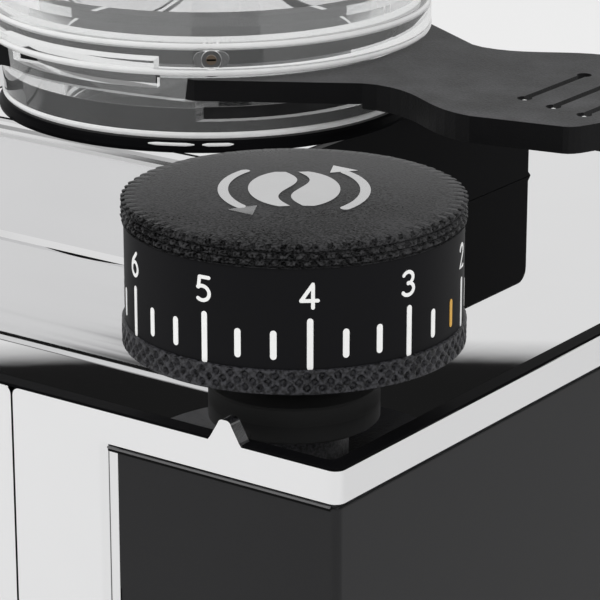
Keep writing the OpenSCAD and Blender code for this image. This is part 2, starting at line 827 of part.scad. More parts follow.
module portafilter_fork() {
    plate_w = fork_gap + 2 * prong_w;
    lip = 7;
    color("silver") {
        // mounting plate against the fascia
        difference() {
            translate([0, 0, fork_z + fork_plate_rise])
                along_y(y_front - fork_t, y_front) round_rect(plate_w, fork_plate_h, 4);
            for (x = [-1, 1])
                translate([x * fork_screw_x, y_front + 1, z_fork_screw])
                    rotate([90, 0, 0]) cylinder(r = 2.1, h = 5, $fn = fs);
        }
        // prongs with an upturned lip
        for (s = [-1, 1])
            along_x(s > 0 ? fork_gap / 2 : -fork_gap / 2 - prong_w,
                    s > 0 ? fork_gap / 2 + prong_w : -fork_gap / 2)
                polygon([for (p = concat([[fork_t - 1, -prong_h]],
                                         arc([fork_len - 4, 4 - prong_h], 4, -90, 0, 5),
                                         [[fork_len, lip - 1.5]],
                                         arc([fork_len - 1.5, lip - 1.5], 1.5, 0, 180, 6),
                                         [[fork_len - 3, 1.5]],
                                         arc([fork_len - 4.5, 1.5], 1.5, 0, -90, 4), [[fork_t - 1, 0]]))
                         [y_front - p[0], fork_z + p[1]]]);
    }
}

// ---------------------------------------------------------------- burrs

module grind_chamber() {
    outlet_w = chute_w - 2 * chute_wall;
    flange_out = 9;
    shaft_gap = 0.6;
    bolt_hole = 2.6;
    color("lightgray")
    on_axis()
        difference() {
            union() {
                rod(chamber_r, z_floor - floor_t, z_chamber, fl);
                rod(chamber_r + flange_out, z_seat, z_gear_plate, fl);
            }
            rod(chamber_in, z_floor, z_chamber + 1, fl);
            rod(motor_shaft_r + shaft_gap, z_floor - floor_t - 1, z_floor + 1);
            around(3, bolt_r) rod(bolt_hole, z_seat - 1, z_gear_plate + 1);
            block([-outlet_w / 2, -chamber_r - 1, z_chute], [outlet_w / 2, 0, z_chute_top]);
        }
}

module chamber_bolts() {
    color("silver")
    on_axis()
        around(3, bolt_r) {
            rod(2.5, z_seat - shelf_t - 4, z_gear_plate + plate_t);
            translate([0, 0, z_gear_plate + plate_t])
                difference() {
                    cylinder(r = 4.2, h = 4, $fn = fs);
                    translate([0, 0, 2]) cylinder(r = 2.3, h = 3, $fn = 6);
                }
            translate([0, 0, z_seat - shelf_t - 4]) cylinder(r = 4.3, h = 4, $fn = 6);
        }
}

screw_ring = (burr_r + burr_in) / 2;
burr_screw_turn = 22;                         // angle of the first screw, between two breaker grooves
head_seat = 2.4;                              // depth of the screw heads' counterbore
screw_hole = 4;                               // depth of the tapped holes in the upper carrier

// Outline of slanted cutting grooves between two radii.
module groove_outline(n, r0, r1, width, slant) {
    for (i = [0 : n - 1])
        rotate(i * 360 / n)
            polygon([[r0, 0], [r1 * cos(slant), r1 * sin(slant)],
                     [r1 * cos(slant + width), r1 * sin(slant + width)], [r0 * cos(0.4), r0 * sin(0.4)]]);
}

// A flat burr with its cutting face at Z = 0 and its body above.
module flat_burr() {
    difference() {
        rotate_extrude($fn = fl)
            polygon([[burr_in, burr_t], [burr_in, 2.4], [burr_r - 8, 0], [burr_r, 0], [burr_r, burr_t]]);
        // fine grooves at the rim
        translate([0, 0, -0.1])
            linear_extrude(0.8)
                groove_outline(burr_grooves, burr_r - 9, burr_r + 1, 180 / burr_grooves * 0.9, 12);
        // coarse breaker grooves inside
        translate([0, 0, -0.1])
            linear_extrude(3)
                groove_outline(8, burr_in - 1, burr_r - 6, 9, 24);
        around(3, screw_ring, burr_screw_turn) {
            translate([0, 0, -1]) cylinder(r = 2.1, h = burr_t + 2, $fn = fs);
            translate([0, 0, -1]) cylinder(r = 4, h = head_seat + 1, $fn = fs);
        }
    }
}

// Screws that hold a burr from its cutting face at Z = 0 and end at the given height.
module burr_screws(reach) {
    around(3, screw_ring, burr_screw_turn) {
        translate([0, 0, head_seat]) cylinder(r = 2, h = reach - head_seat, $fn = fs);
        difference() {
            translate([0, 0, 0.9]) cylinder(r = 3.7, h = head_seat - 0.9, $fn = fs);
            translate([0, 0, 0.4]) cylinder(r = 1.4, h = 1.3, $fn = 6);
        }
    }
}

module lower_burr() {
    color("dimgray") translate([0, hop_y, z_gap]) mirror([0, 0, 1]) flat_burr();
}

module upper_burr() {
    color("dimgray") translate([0, hop_y, z_gap + burr_gap]) flat_burr();
}

module lower_burr_screws() {
    color("silver") translate([0, hop_y, z_gap]) mirror([0, 0, 1]) burr_screws(burr_t + carrier_t - 1);
}

module upper_burr_screws() {
    color("silver") translate([0, hop_y, z_gap + burr_gap]) burr_screws(burr_t + screw_hole - 0.5);
}

module lower_burr_carrier() {
    color("lightgray")
    on_axis()
        difference() {
            union() {
                rod(burr_r + 0.5, z_plate, z_lower, fl);
                rod(burr_in - 4, z_plate, z_gap - 1, fl);
                // vanes that sweep the grounds to the outlet
                around(4, 0)
                    block([burr_r - 1, -2.5, z_plate], [chamber_in - 0.7, 2.5, z_lower + 2]);
            }
            tube(burr_r + 0.2, burr_in - 4, z_lower, z_gap + 1);
            rod(motor_shaft_r + 0.01, z_plate - 1, z_gap);
            around(3, screw_ring, burr_screw_turn) rod(2.1, z_plate - 1, z_lower + 1);
        }
}

spring_ring = 27;
spring_r = 2.6;
spring_wire = 0.5;
spring_depth = 6;
z_carrier_top = z_ring_top - 0.5;
pin_ring = 32;

module upper_burr_carrier() {
    color("lightgray")
    on_axis()
        difference() {
            union() {
                rod(carrier_r, z_upper + 2, z_carrier_top, fl);
                rod(burr_r, z_upper, z_upper + 3, fl);
                rod(neck_r, z_carrier_top - 1, z_neck, fl);
            }
            rod(neck_in, z_upper - 1, z_neck + 1, fl);
            translate([0, 0, z_upper - 0.01]) cylinder(r1 = burr_in - 0.5, r2 = neck_in, h = 6, $fn = fl);
            around(3, screw_ring, burr_screw_turn) rod(2.1, z_upper - 1, z_upper + screw_hole);
            around(3, spring_ring, 60) rod(spring_r + 0.5, z_carrier_top - spring_depth, z_carrier_top + 1);
            around(2, pin_ring, 0) rod(2 + fit, z_carrier_top - 8, z_carrier_top + 1);
        }
}

// Coil spring from z0 to z1, as one swept tube with flat-ended wire.
module coil_spring(r, wire, z0, z1, turns) {
    steps = 12 * turns;
    sides = 6;
    points = [for (i = [0 : steps])
        for (k = [0 : sides - 1])
            let (a = 30 * i, b = 360 * k / sides, q = r + wire * cos(b))
            [q * cos(a), q * sin(a),
             z0 + wire + (z1 - z0 - 2 * wire) * i / steps + wire * sin(b)]];
    walls = [for (i = [0 : steps - 1])
        for (k = [0 : sides - 1])
            let (n = (k + 1) % sides)
            [i * sides + k, i * sides + n, (i + 1) * sides + n, (i + 1) * sides + k]];
    ends = [[for (k = [sides - 1 : -1 : 0]) k], [for (k = [0 : sides - 1]) steps * sides + k]];
    polyhedron(points, concat(walls, ends), convexity = 6);
}

module carrier_springs() {
    color("silver")
    on_axis()
        around(3, spring_ring, 60)
            coil_spring(spring_r - spring_wire, spring_wire, z_carrier_top - spring_depth + 0.02,
                        z_retainer - 0.02, 5);
}

module adjusting_ring() {
    bore = carrier_r + fit;
    color("goldenrod")
    on_axis()
        difference() {
            union() {
                rod(bore + 5.5, z_ring, z_ring_top, fl);
                translate([0, 0, z_gear])
                    linear_extrude(gear_w) polygon(gear_outline(ring_teeth, idler_angle));
            }
            rod(bore, z_ring - 1, z_ring_top + 1, fl);
        }
}

module ring_retainer() {
    leg_in = gear_m * ring_teeth / 2 + 3;
    color("gray")
    on_axis() {
        tube(leg_in + 5, neck_r + 0.5, z_retainer, z_retainer + retainer_t);
        // legs that stand on the gear plate, clear of the idler
        around(3, leg_in, idler_angle + 60)
            block([0, -5, z_gear_plate + plate_t], [5, 5, z_retainer + 0.01]);
        // guide pins that keep the carrier from turning
        around(2, pin_ring, 0) rod(2, z_carrier_top - 6, z_retainer + 0.01);
    }
}

module gear_plate() {
    arm_half = 16;
    color("gray")
    difference() {
        union() {
            on_axis() rod(chamber_r + 9, z_gear_plate, z_gear_plate + plate_t, fl);
            // arm that carries the idler and the knob shaft
            translate([0, 0, z_gear_plate])
                linear_extrude(plate_t)
                    polygon([[chamber_r - 12, hop_y + 4], [idler_x + arm_half, idler_y + arm_half],
                             [frame_x - post_t - gap, knob_y + arm_half],
                             [frame_x - post_t - gap, knob_y - arm_half / 2],
                             [knob_x - arm_half / 2, knob_y - 11], [20, hop_y - chamber_r - 3]]);
            // boss of the shaft's lower bush
            on_knob() rod(shaft_r + 4, z_seat + gap, z_gear_plate + plate_t + 0.5);
            // idler stud
            translate([idler_x, idler_y, 0]) {
                rod(stud_r, z_gear_plate, z_gear + gear_w + 1.5);
                rod(stud_r + 2.5, z_gear_plate, z_gear - gap);
            }
        }
        on_axis() {
            rod(chamber_r + gap, z_gear_plate - 1, z_gear_plate + plate_t + 1, fl);
            around(3, bolt_r) rod(2.6, z_gear_plate - 1, z_gear_plate + plate_t + 1);
        }
        on_knob() rod(shaft_r + fit, z_gear_plate - 6, z_gear_plate + plate_t + 2);
    }
}

module idler_gear() {
    color("white")
    translate([idler_x, idler_y, 0])
        difference() {
            translate([0, 0, z_gear]) linear_extrude(gear_w) polygon(gear_outline(idler_teeth, idler_phase));
            rod(stud_r + fit, z_gear - 1, z_gear + gear_w + 1);
            // web recesses
            tube(gear_m * idler_teeth / 2 - 4, stud_r + 4, z_gear + gear_w - 2, z_gear + gear_w + 1);
        }
}

module adjust_pinion() {
    color("goldenrod")
    on_knob()
        difference() {
            union() {
                translate([0, 0, z_gear])
                    linear_extrude(gear_w) polygon(gear_outline(pinion_teeth, pinion_phase));
                rod(shaft_r + 3.5, z_gear, z_gear + gear_w + 4);
            }
            rod(shaft_r + 0.01, z_gear - 1, z_gear + gear_w + 5);
        }
}

// ---------------------------------------------------------------- motor and electrics

module motor_housing() {
    wall = 3.5;
    bell = 9;
    fins = 24;
    fin_h = 1.5;
    fin_t = 2;
    shell_r = motor_r - fin_h;
    bearing_seat = 14;
    air_r = 7;
    air_at = 28;
    color("darkgray")
    on_axis()
        difference() {
            union() {
                rod(shell_r, z_motor_low, z_motor, fl);
                // cooling fins
                around(fins, 0)
                    block([shell_r - fin_h, -fin_t / 2, z_motor_low + 14],
                          [motor_r, fin_t / 2, z_motor - 10]);
            }
            rod(shell_r - wall, z_motor_low + bell, z_motor - bell, fl);
            rod(bearing_seat, z_motor - bell - 1, z_motor + 1, fl);
            rod(bearing_seat, z_motor_low - 1, z_motor_low + bell + 1, fl);
            // air windows in the lower bell
            around(6, air_at, 30) rod(air_r, z_motor_low - 1, z_motor_low + bell + 1);
        }
}

module motor_stator() {
    color("sienna")
    on_axis()
        difference() {
            rod(motor_r - 5, z_motor_low + 26, z_motor - 24, fl);
            rod(27, z_motor_low + 25, z_motor - 23, fl);
            around(12, 36, 15) rod(3, z_motor_low + 25, z_motor - 23);
        }
}

module motor_rotor() {
    color("silver")
    on_axis() {
        rod(motor_shaft_r, z_motor_low + 1, z_gap + 3);
        rod(26.5, z_motor_low + 30, z_motor - 28, fl);
        // nut that clamps the lower carrier
        translate([0, 0, z_gap - 1]) cylinder(r = 9, h = 3.5, $fn = 6);
    }
}

module motor_bearings() {
    color("lightsteelblue")
    on_axis()
        for (z = [z_motor_low + 1, z_motor - 9])
            tube(14, motor_shaft_r + 0.01, z, z + 8);
}

module cooling_fan() {
    blades = 7;
    blade_t = 2;
    fan_hub = 9;
    fan_r = 38;
    z_fan = z_motor_low + 12;
    z_fan_top = z_fan + 10;
    color("black")
    on_axis() {
        tube(fan_hub, motor_shaft_r + 0.01, z_fan, z_fan_top);
        around(blades, 0)
            block([fan_hub - 1, -blade_t / 2, z_fan], [fan_r, blade_t / 2, z_fan_top]);
    }
}

can_r = 18;
can_h = 68;

module run_capacitor() {
    color("whitesmoke")
    translate([can_r + 10 - frame_x, y_front + can_r + 16, z_base + post_t]) {
        rotate_extrude($fn = fl)
            polygon([[0, 0], [can_r - 1, 0], [can_r, 1], [can_r, can_h - 2], [can_r - 1, can_h],
                     [can_r - 4, can_h], [can_r - 4.5, can_h - 1], [0, can_h - 1]]);
        for (x = [-6, 6]) translate([x, 0, can_h - 2]) rod(1.5, 0, 7);
        // clamp with its foot
        tube(can_r + 1, can_r, 20, 28);
        block([-can_r - 7, -6, 0], [-can_r - 0.2, 6, 2]);
        block([-can_r - 2, -6, 0], [-can_r - 0.2, 6, 28]);
    }
}

board_w = 96;
board_h = 70;
board_off = 10.4;                             // the board stands off the back panel by this

module control_board() {
    board = [-frame_x + 19, y_back - board_off - board_t, z_base + 20];
    color("darkgreen") {
        block(board, board + [board_w, board_t, board_h]);
        for (x = [4, board_w - 4], z = [4, board_h - 4])
            translate([board.x + x, y_back, board.z + z])
                rotate([90, 0, 0]) cylinder(r = 3, h = board_off, $fn = fs);
        // relay, heat sink and terminal block
        block(board + [10, -16, 12], board + [38, 0, 28]);
        block(board + [10, -10, 40], board + [40, 0, 62]);
        block(board + [50, -10, 50], board + [90, 0, 62]);
    }
}

// ---------------------------------------------------------------- adjusting knob

module knob_collar() {
    // flanged bush: its flange shows under the knob, its neck passes through the deck
    r = collar_dia / 2;
    color("black")
    on_knob()
        rotate_extrude($fn = fl)
            polygon([[shaft_r + fit, deck_h - 8], [shaft_r + 3, deck_h - 8], [shaft_r + 3, deck_h],
                     [r, deck_h], [r, deck_h + collar_h - 0.3], [r - 0.3, deck_h + collar_h],
                     [shaft_r + fit, deck_h + collar_h]]);
}

module knob_shaft() {
    color("silver") on_knob() rod(shaft_r, z_seat + gap, z_band + 8);
}

module knob_skirt() {
    land = skirt_h / 8;
    row = (skirt_h - 4 * land) / 3;
    color([0.12, 0.12, 0.12])
    on_knob()
        difference() {
            union() {
                // plain lands with three staggered rows of pits between them
                for (i = [0 : 3])
                    rod(knob_r - (i % 3 == 0 ? 0.12 : 0), z_skirt + i * (land + row),
                        z_skirt + i * (land + row) + land, fl);
                for (i = [0 : 2])
                    translate([0, 0, z_skirt + land + i * (land + row)])
                        linear_extrude(row)
                            polygon(notched(knob_r - 0.05, knurls, knurl_depth, i % 2 / 2, 0.62));
                // spigot for the band and the hub on the shaft
                rod(band_r - band_t - 0.02, z_band - 0.01, z_band + 2.5, fl);
                rod(hub_r, deck_h + collar_h + 0.5, z_band + 8, fl);
            }
            rod(shaft_r + 0.01, deck_h, z_band + 9);
            // weight-saving pocket
            tube(band_r - band_t - 2, hub_r + 2, z_skirt + 2, z_band + 3);
            // grub screw hole
            translate([0, 0, z_skirt - 2.6]) rotate([0, 90, 30]) cylinder(r = 1.5, h = 12, $fn = fs);
        }
}

module dial_band() {
    color([0.06, 0.06, 0.06]) on_knob() tube(band_r, band_r - band_t, z_band, z_cap);
}

module knob_cap() {
    rows = 3;
    pitch = cap_h / rows;
    groove = 0.22;
    // each row of the knurl is a round bead
    beads = [for (i = [0 : rows - 1])
        for (p = [[-0.42, 0.35], [-0.3, 0.05], [0.12, 0], [0.3, 0.05], [0.42, 0.35]])
            [knob_r - p[1], z_cap + (i + 0.5 + p[0]) * pitch]];
    color([0.12, 0.12, 0.12])
    on_knob()
        difference() {
            union() {
                intersection() {
                    rotate_extrude($fn = fl)
                        polygon(concat([[0, z_cap]], beads, [[0, z_cap + cap_h]]));
                    translate([0, 0, z_cap - 1])
                        linear_extrude(cap_h + 2)
                            polygon(notched(knob_r + 0.05, knurls, knurl_depth + groove, 0, 0.5));
                }
                rod(band_r - band_t - 0.02, z_cap - 3, z_cap + 0.5, fl);
            }
            rod(band_r - band_t - 2, z_cap - 4, z_cap + cap_h - 1.6, fl);
        }
}

// ---------------------------------------------------------------- hopper

module hopper_gasket() {
    color("black")
    on_axis()
        rotate_extrude($fn = fl)
            polygon([[spigot_r + 0.6, z_turret], [base_r + 1, z_turret], [base_r + 1.1, z_turret + 0.6],
                     [base_r + 0.6, z_hopper - gap - 0.4], [base_r + 0.2, z_hopper - gap],
                     [spigot_r + 0.6, z_hopper - gap]]);
}

lock_angle = -52;
lock_z = (z_flange + z_hopper_top) / 2;

// Places its children at the lock screw, pointing out of the flange.
module at_lock_screw() {
    on_axis() rotate(lock_angle) translate([flange_r, 0, lock_z]) rotate([0, 90, 0]) children();
}

module hopper_base() {
    color([0.85, 0.9, 0.92, 0.4])
    difference() {
        on_axis()
            rotate_extrude($fn = fl)
                polygon([[spigot_r - 2.4, z_hopper - spigot_h], [spigot_r, z_hopper - spigot_h],
                         [spigot_r, z_hopper],
                         [base_r, z_hopper], [base_r + 0.8, z_flange - 0.8], [flange_r - 0.3, z_flange],
                         [flange_r, z_flange + 0.6], [flange_r, z_hopper_top - 0.5],
                         [flange_r - 0.5, z_hopper_top], [hopper_foot_in, z_hopper_top],
                         [throat_r, z_gate_top + 0.5], [throat_r, z_hopper]]);
        // channel of the gate's blade, open to the right
        translate([0, hop_y, 0]) {
            block([-gate_half - 2 * gap, -gate_half - gap, z_gate - gap],
                  [flange_r + 2, gate_half + gap, z_gate_top]);
        }
        // relief below the slot, outside the throat
        intersection() {
            on_axis() tube(flange_r + 2, throat_r + 6, z_gate - relief_h, z_gate);
            translate([0, hop_y, 0])
                block([20, -gate_half - gap, z_hopper], [flange_r + 2, gate_half + gap, z_gate_top]);
        }
        // bayonet window in the front of the wall
        intersection() {
            on_axis() tube(flange_r + 2, base_r - 2.2, z_flange - 2.6, z_flange + 2.4);
            translate([0, hop_y, 0])
                linear_extrude(deck_h * 2)
                    polygon(concat([[0, 0]], arc([0, 0], flange_r + 8, -118, -66, 8)));
        }
        at_lock_screw() translate([0, 0, -4]) cylinder(r = 1.62, h = 6, $fn = fs);
    }
}

hopper_foot_in = 31;

module hopper_lock_screw() {
    color("peru")
    at_lock_screw()
        difference() {
            translate([0, 0, -4]) cylinder(r = 1.6, h = 4.3, $fn = fs);
            translate([-0.25, -2, 0]) cube([0.5, 4, 1]);
        }
}

module gate_slider() {
    // half outline: blade, taper, neck, flared handle
    tip = gate_reach;
    neck_w = 15.8;
    grip_w = 23.4;
    end_w = 20.2;
    handle_x = 43.6;
    handle_drop = 0.8;
    half = concat([[-gate_half + 6, -gate_half], [20.3, -gate_half]], [[handle_x, -neck_w - 0.6]],
                  curve([[46, -neck_w], [55.5, -neck_w + 0.6], [59, -grip_w], [68.6, -grip_w]], 10),
                  curve([[83.6, -end_w - 0.2], [84.8, -end_w + 0.1], [85.6, -end_w + 1.2], [86.2, -17.4]], 4),
                  curve([[87.2, -14.9], [89.4, -9.6], [tip, -4], [tip, 0]], 6));
    outline = concat(half, [for (i = [len(half) - 2 : -1 : 0]) [half[i].x, -half[i].y]],
                     arc([-gate_half + 6, gate_half - 6], 6, 90, 180, 4),
                     arc([-gate_half + 6, -gate_half + 6], 6, 180, 270, 4));
    slots = [[69.8, 9.2], [76.2, 11], [82.6, 12.4]];
    color([0.12, 0.12, 0.12])
    translate([0, hop_y, z_gate])
        difference() {
            union() {
                linear_extrude(gate_t) polygon(outline);
                translate([0, 0, -handle_drop])
                    intersection() {
                        linear_extrude(gate_t + handle_drop) polygon(outline);
                        block([handle_x, -gate_half, -1], [tip + 1, gate_half, gate_t + 2]);
                    }
            }
            for (s = slots)
                translate([s[0], 0, gate_t - 1.6])
                    linear_extrude(3) {
                        square([1.4, 2 * s[1]], center = true);
                        for (y = [-1, 1]) translate([0, y * s[1]]) circle(r = 1.25, $fn = fs);
                    }
        }
}

module hopper_body() {
    rim = z_hopper_top + hopper_h;
    color([0.85, 0.9, 0.92, 0.35])
    on_axis()
        rotate_extrude($fn = fl)
            polygon(concat([[hopper_foot_in, z_hopper_top], [flange_r - 1.5, z_hopper_top],
                            [flange_r - 1.5, z_hopper_top + 2.5],
                            [hopper_foot_in + 3 + hopper_wall, z_hopper_top + 4]],
                           curve([[36.5, z_hopper_top + 8], [38, z_hopper_top + 40],
                                  [hopper_r, z_hopper_top + 50], [hopper_r, rim - 20]], 8),
                           [[hopper_r, rim], [hopper_r - hopper_wall, rim]],
                           curve([[hopper_r - hopper_wall, rim - 20],
                                  [hopper_r - hopper_wall, z_hopper_top + 51],
                                  [35.5, z_hopper_top + 41], [34, z_hopper_top + 8]], 8),
                           [[hopper_foot_in, z_hopper_top + 4]]));
}

module hopper_lid() {
    rim = z_hopper_top + hopper_h + gap;
    color([0.2, 0.2, 0.2])
    on_axis()
        rotate_extrude($fn = fl)
            polygon([[0, rim], [hopper_r - hopper_wall - 1.9, rim], [hopper_r - hopper_wall - 1.9, rim - 5],
                     [hopper_r - hopper_wall - gap, rim - 5], [hopper_r - hopper_wall - gap, rim],
                     [hopper_r + 1, rim], [hopper_r + 1, rim + 2], [hopper_r - 1, rim + 4],
                     [14, rim + 5.5], [12, rim + 6.5], [11, rim + 11], [12.5, rim + 13.5],
                     [11, rim + 15], [0, rim + 15.4]]);
}

// ---------------------------------------------------------------- assembly

base_casting();
feet();
grounds_tray();
chassis_frame();
corner_frame_right();
corner_frame_left();
front_fascia();
side_panel_right();
side_panel_left();
top_deck();
turret_cover();
turret_cheeks();
back_panel();
case_screws();
mains_inlet();
inlet_pins();
power_rocker();
display_window();
display_board();
dose_button_single();
dose_button_double();
dose_button_manual();
spout_nozzle();
clump_flap();
discharge_chute();
portafilter_fork();
start_button();
grind_chamber();
chamber_bolts();
lower_burr();
lower_burr_carrier();
lower_burr_screws();
upper_burr();
upper_burr_carrier();
upper_burr_screws();
carrier_springs();
adjusting_ring();
ring_retainer();
gear_plate();
idler_gear();
adjust_pinion();
motor_housing();
motor_stator();
motor_rotor();
motor_bearings();
cooling_fan();
run_capacitor();
control_board();
bean_funnel();
knob_collar();
knob_shaft();
knob_skirt();
dial_band();
knob_cap();
hopper_gasket();
hopper_base();
gate_slider();
hopper_body();
hopper_lid();
hopper_lock_screw();
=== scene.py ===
"""Looks of a burr coffee grinder: its finishes, its detailed pieces and a plain studio."""

import logging
import math
from dataclasses import dataclass, field
from enum import Enum
from typing import Any, Callable, Iterable, Sequence

import bmesh
import bpy
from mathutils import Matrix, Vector, noise


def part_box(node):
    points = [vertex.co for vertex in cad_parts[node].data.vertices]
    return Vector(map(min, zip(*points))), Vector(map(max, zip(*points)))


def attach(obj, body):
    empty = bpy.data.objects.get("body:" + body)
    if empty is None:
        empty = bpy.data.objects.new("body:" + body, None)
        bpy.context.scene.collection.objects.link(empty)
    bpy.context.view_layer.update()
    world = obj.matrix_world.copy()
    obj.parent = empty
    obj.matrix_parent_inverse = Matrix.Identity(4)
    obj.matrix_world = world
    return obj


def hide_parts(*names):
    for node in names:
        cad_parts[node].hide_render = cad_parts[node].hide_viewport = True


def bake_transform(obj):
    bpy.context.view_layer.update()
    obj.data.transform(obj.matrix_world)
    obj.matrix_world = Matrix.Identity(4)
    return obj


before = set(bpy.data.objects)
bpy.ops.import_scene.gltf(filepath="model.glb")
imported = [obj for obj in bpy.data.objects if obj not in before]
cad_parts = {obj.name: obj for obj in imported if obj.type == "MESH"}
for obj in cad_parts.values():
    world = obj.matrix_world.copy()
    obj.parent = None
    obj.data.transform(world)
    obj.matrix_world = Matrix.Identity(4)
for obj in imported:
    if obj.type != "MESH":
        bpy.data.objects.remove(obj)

log = logging.getLogger("grinder")
MM = 0.001
CLOUD_WEIGHT = 1.6
# How quickly the painted side shade takes over as a face turns away from up.
SIDE_SHADE_STEEPNESS = 4
COAT_ROUGHNESS = 0.08
Color = tuple[float, float, float]
Point2 = tuple[float, float]


# ------------------------------------------------------------------ shader maths


class Sock:
    """An output socket on which Python's operators add Math nodes."""

    def __init__(self, tree: "Tree", out: bpy.types.NodeSocket) -> None:
        """Keeps the node tree and the socket."""
        self.tree = tree
        self.out = out

    def _math(self, operation: str, a: Any, b: Any) -> "Sock":
        """Adds one Math node for a and b."""
        return self.tree.node("ShaderNodeMath", {"operation": operation}, {0: a, 1: b})

    def __add__(self, other: Any) -> "Sock":
        """self + other."""
        return self._math("ADD", self, other)

    def __radd__(self, other: Any) -> "Sock":
        """other + self."""
        return self._math("ADD", other, self)

    def __sub__(self, other: Any) -> "Sock":
        """self - other."""
        return self._math("SUBTRACT", self, other)

    def __rsub__(self, other: Any) -> "Sock":
        """other - self."""
        return self._math("SUBTRACT", other, self)

    def __mul__(self, other: Any) -> "Sock":
        """self * other."""
        return self._math("MULTIPLY", self, other)

    def __rmul__(self, other: Any) -> "Sock":
        """other * self."""
        return self._math("MULTIPLY", other, self)

    def clamp(self) -> "Sock":
        """The value held between 0 and 1."""
        return self.tree.node("ShaderNodeClamp", {}, {"Value": self})


class Tree:
    """A node tree in which every node is added by one method."""

    def __init__(self, data: Any) -> None:
        """Empties the node tree of a material or world."""
        data.use_nodes = True
        self.data = data.node_tree
        self.data.nodes.clear()

    def node(self, kind: str, settings: dict[str, Any] | None = None,
             inputs: dict[Any, Any] | None = None, out: Any = 0) -> Sock:
        """Adds a node.

        Args:
            kind: the node's type.
            settings: its properties, or "stops" for a ramp, set before its sockets.
            inputs: a value or a Sock for each input's name or number.
            out: the name or number of the output that is wanted.

        Returns:
            The wanted output.
        """
        made = self.data.nodes.new(kind)
        for key, value in (settings or {}).items():
            if key == "stops":
                ramp = made.color_ramp.elements
                for i, (place, tint) in enumerate(value):
                    stop = ramp[i] if i < 2 else ramp.new(place)
                    stop.position, stop.color = place, (*tint, 1.0)
            else:
                setattr(made, key, value)
        for key, value in (inputs or {}).items():
            socket = made.inputs[key]
            if isinstance(value, Sock):
                self.data.links.new(value.out, socket)
            else:
                if socket.type == "RGBA" and len(value) == 3:
                    value = (*value, 1.0)
                socket.default_value = value
        return Sock(self, made.outputs[out] if made.outputs else None)

    def mix(self, factor: Any, a: Any, b: Any) -> Sock:
        """Mixes two colours."""
        return self.node("ShaderNodeMix", {"data_type": "RGBA"}, {0: factor, 6: a, 7: b}, 2)

    def noise(self, vector: Sock, size: float, detail: float = 2.0) -> Sock:
        """Noise of a given size in metres."""
        return self.node("ShaderNodeTexNoise", {},
                         {"Vector": vector, "Scale": 1.0 / size, "Detail": detail})


# ------------------------------------------------------------------ finishes


class Grain(Enum):
    """How a surface's small relief runs."""

    EVEN = (1.0, 1.0, 1.0)
    ALONG_X = (0.03, 1.0, 1.0)
    ALONG_Z = (1.0, 1.0, 0.03)
    FLOW = (0.5, 0.5, 0.12)


@dataclass(frozen=True)
class Finish:
    """An opaque finish.

    Attributes are the colour, the shader's constants, and the relief: its direction, its
    size and depth in metres, how much tone and gloss wander over a cloud's size, how
    strongly the fine grain shows, and a darker colour painted on the sides as shade,
    where it is given.
    """

    name: str
    color: Color
    metallic: float = 0.0
    roughness: float = 0.5
    grain: Grain = Grain.EVEN
    size: float = 0.5 * MM
    depth: float = 0.02 * MM
    tone: float = 0.06
    gloss: float = 0.06
    coat: float = 0.0
    specular: float = 0.5
    cloud: float = 30 * MM
    speckle: float = 0.8
    shaded_sides: Color | None = None

    def material(self) -> bpy.types.Material:
        """The finish's material, made once."""
        found = bpy.data.materials.get(self.name)
        if found:
            return found
        made = bpy.data.materials.new(self.name)
        tree = Tree(made)
        place = tree.node("ShaderNodeTexCoord", out="Object")
        run = tree.node("ShaderNodeVectorMath", {"operation": "MULTIPLY"},
                        {0: place, 1: self.grain.value})
        fine = tree.noise(run, self.size, 3.0)
        broad = tree.noise(place, self.cloud, 2.0)
        dark = tuple(c * (1 - self.tone) for c in self.color)
        light = tuple(min(1.0, c * (1 + self.tone)) for c in self.color)
        bump = tree.node("ShaderNodeBump", {}, {"Strength": 1.0, "Distance": self.depth,
                                                "Height": fine})
        share = 0.5 + (broad - 0.5) * CLOUD_WEIGHT + (fine - 0.5) * self.speckle
        shade = tree.mix(share.clamp(), dark, light)
        # Painted shade: faces turned away from up are mixed towards the darker side colour.
        if self.shaded_sides:
            normal = tree.node("ShaderNodeNewGeometry", out="Normal")
            upward = tree.node("ShaderNodeSeparateXYZ", {}, {0: normal}, "Z")
            shade = tree.mix(((upward - 0.5) * SIDE_SHADE_STEEPNESS).clamp(), self.shaded_sides, shade)
        shader = tree.node("ShaderNodeBsdfPrincipled", {}, {
            "Base Color": shade,
            "Metallic": self.metallic,
            "Roughness": (self.roughness + (broad - 0.5) * self.gloss
                          + (fine - 0.5) * self.gloss).clamp(),
            "Coat Weight": self.coat,
            "Coat Roughness": COAT_ROUGHNESS,
            "Specular IOR Level": self.specular,
            "Normal": bump,
        })
        tree.node("ShaderNodeOutputMaterial", {}, {"Surface": shader})
        return made


@dataclass(frozen=True)
class ClearFinish:
    """A clear plastic with a faint flow of its moulding."""

    name: str
    color: Color = (0.96, 0.97, 0.97)
    roughness: float = 0.02
    ior: float = 1.49
    wave: float = 0.05 * MM
    clear: float = 0.9

    def material(self) -> bpy.types.Material:
        """The finish's material, made once."""
        found = bpy.data.materials.get(self.name)
        if found:
            return found
        made = bpy.data.materials.new(self.name)
        tree = Tree(made)
        place = tree.node("ShaderNodeTexCoord", out="Object")
        flow = tree.noise(tree.node("ShaderNodeVectorMath", {"operation": "MULTIPLY"},
                                    {0: place, 1: Grain.FLOW.value}), 9 * MM, 1.0)
        bump = tree.node("ShaderNodeBump", {}, {"Strength": 1.0, "Distance": self.wave,
                                                "Height": flow})
        shader = tree.node("ShaderNodeBsdfPrincipled", {}, {
            "Base Color": tree.mix(flow, tuple(c * 0.97 for c in self.color), self.color),
            "Roughness": (self.roughness + (flow - 0.5) * 0.02).clamp(),
            "IOR": self.ior,
            "Transmission Weight": self.clear,
            "Normal": bump,
        })
        tree.node("ShaderNodeOutputMaterial", {}, {"Surface": shader})
        return made


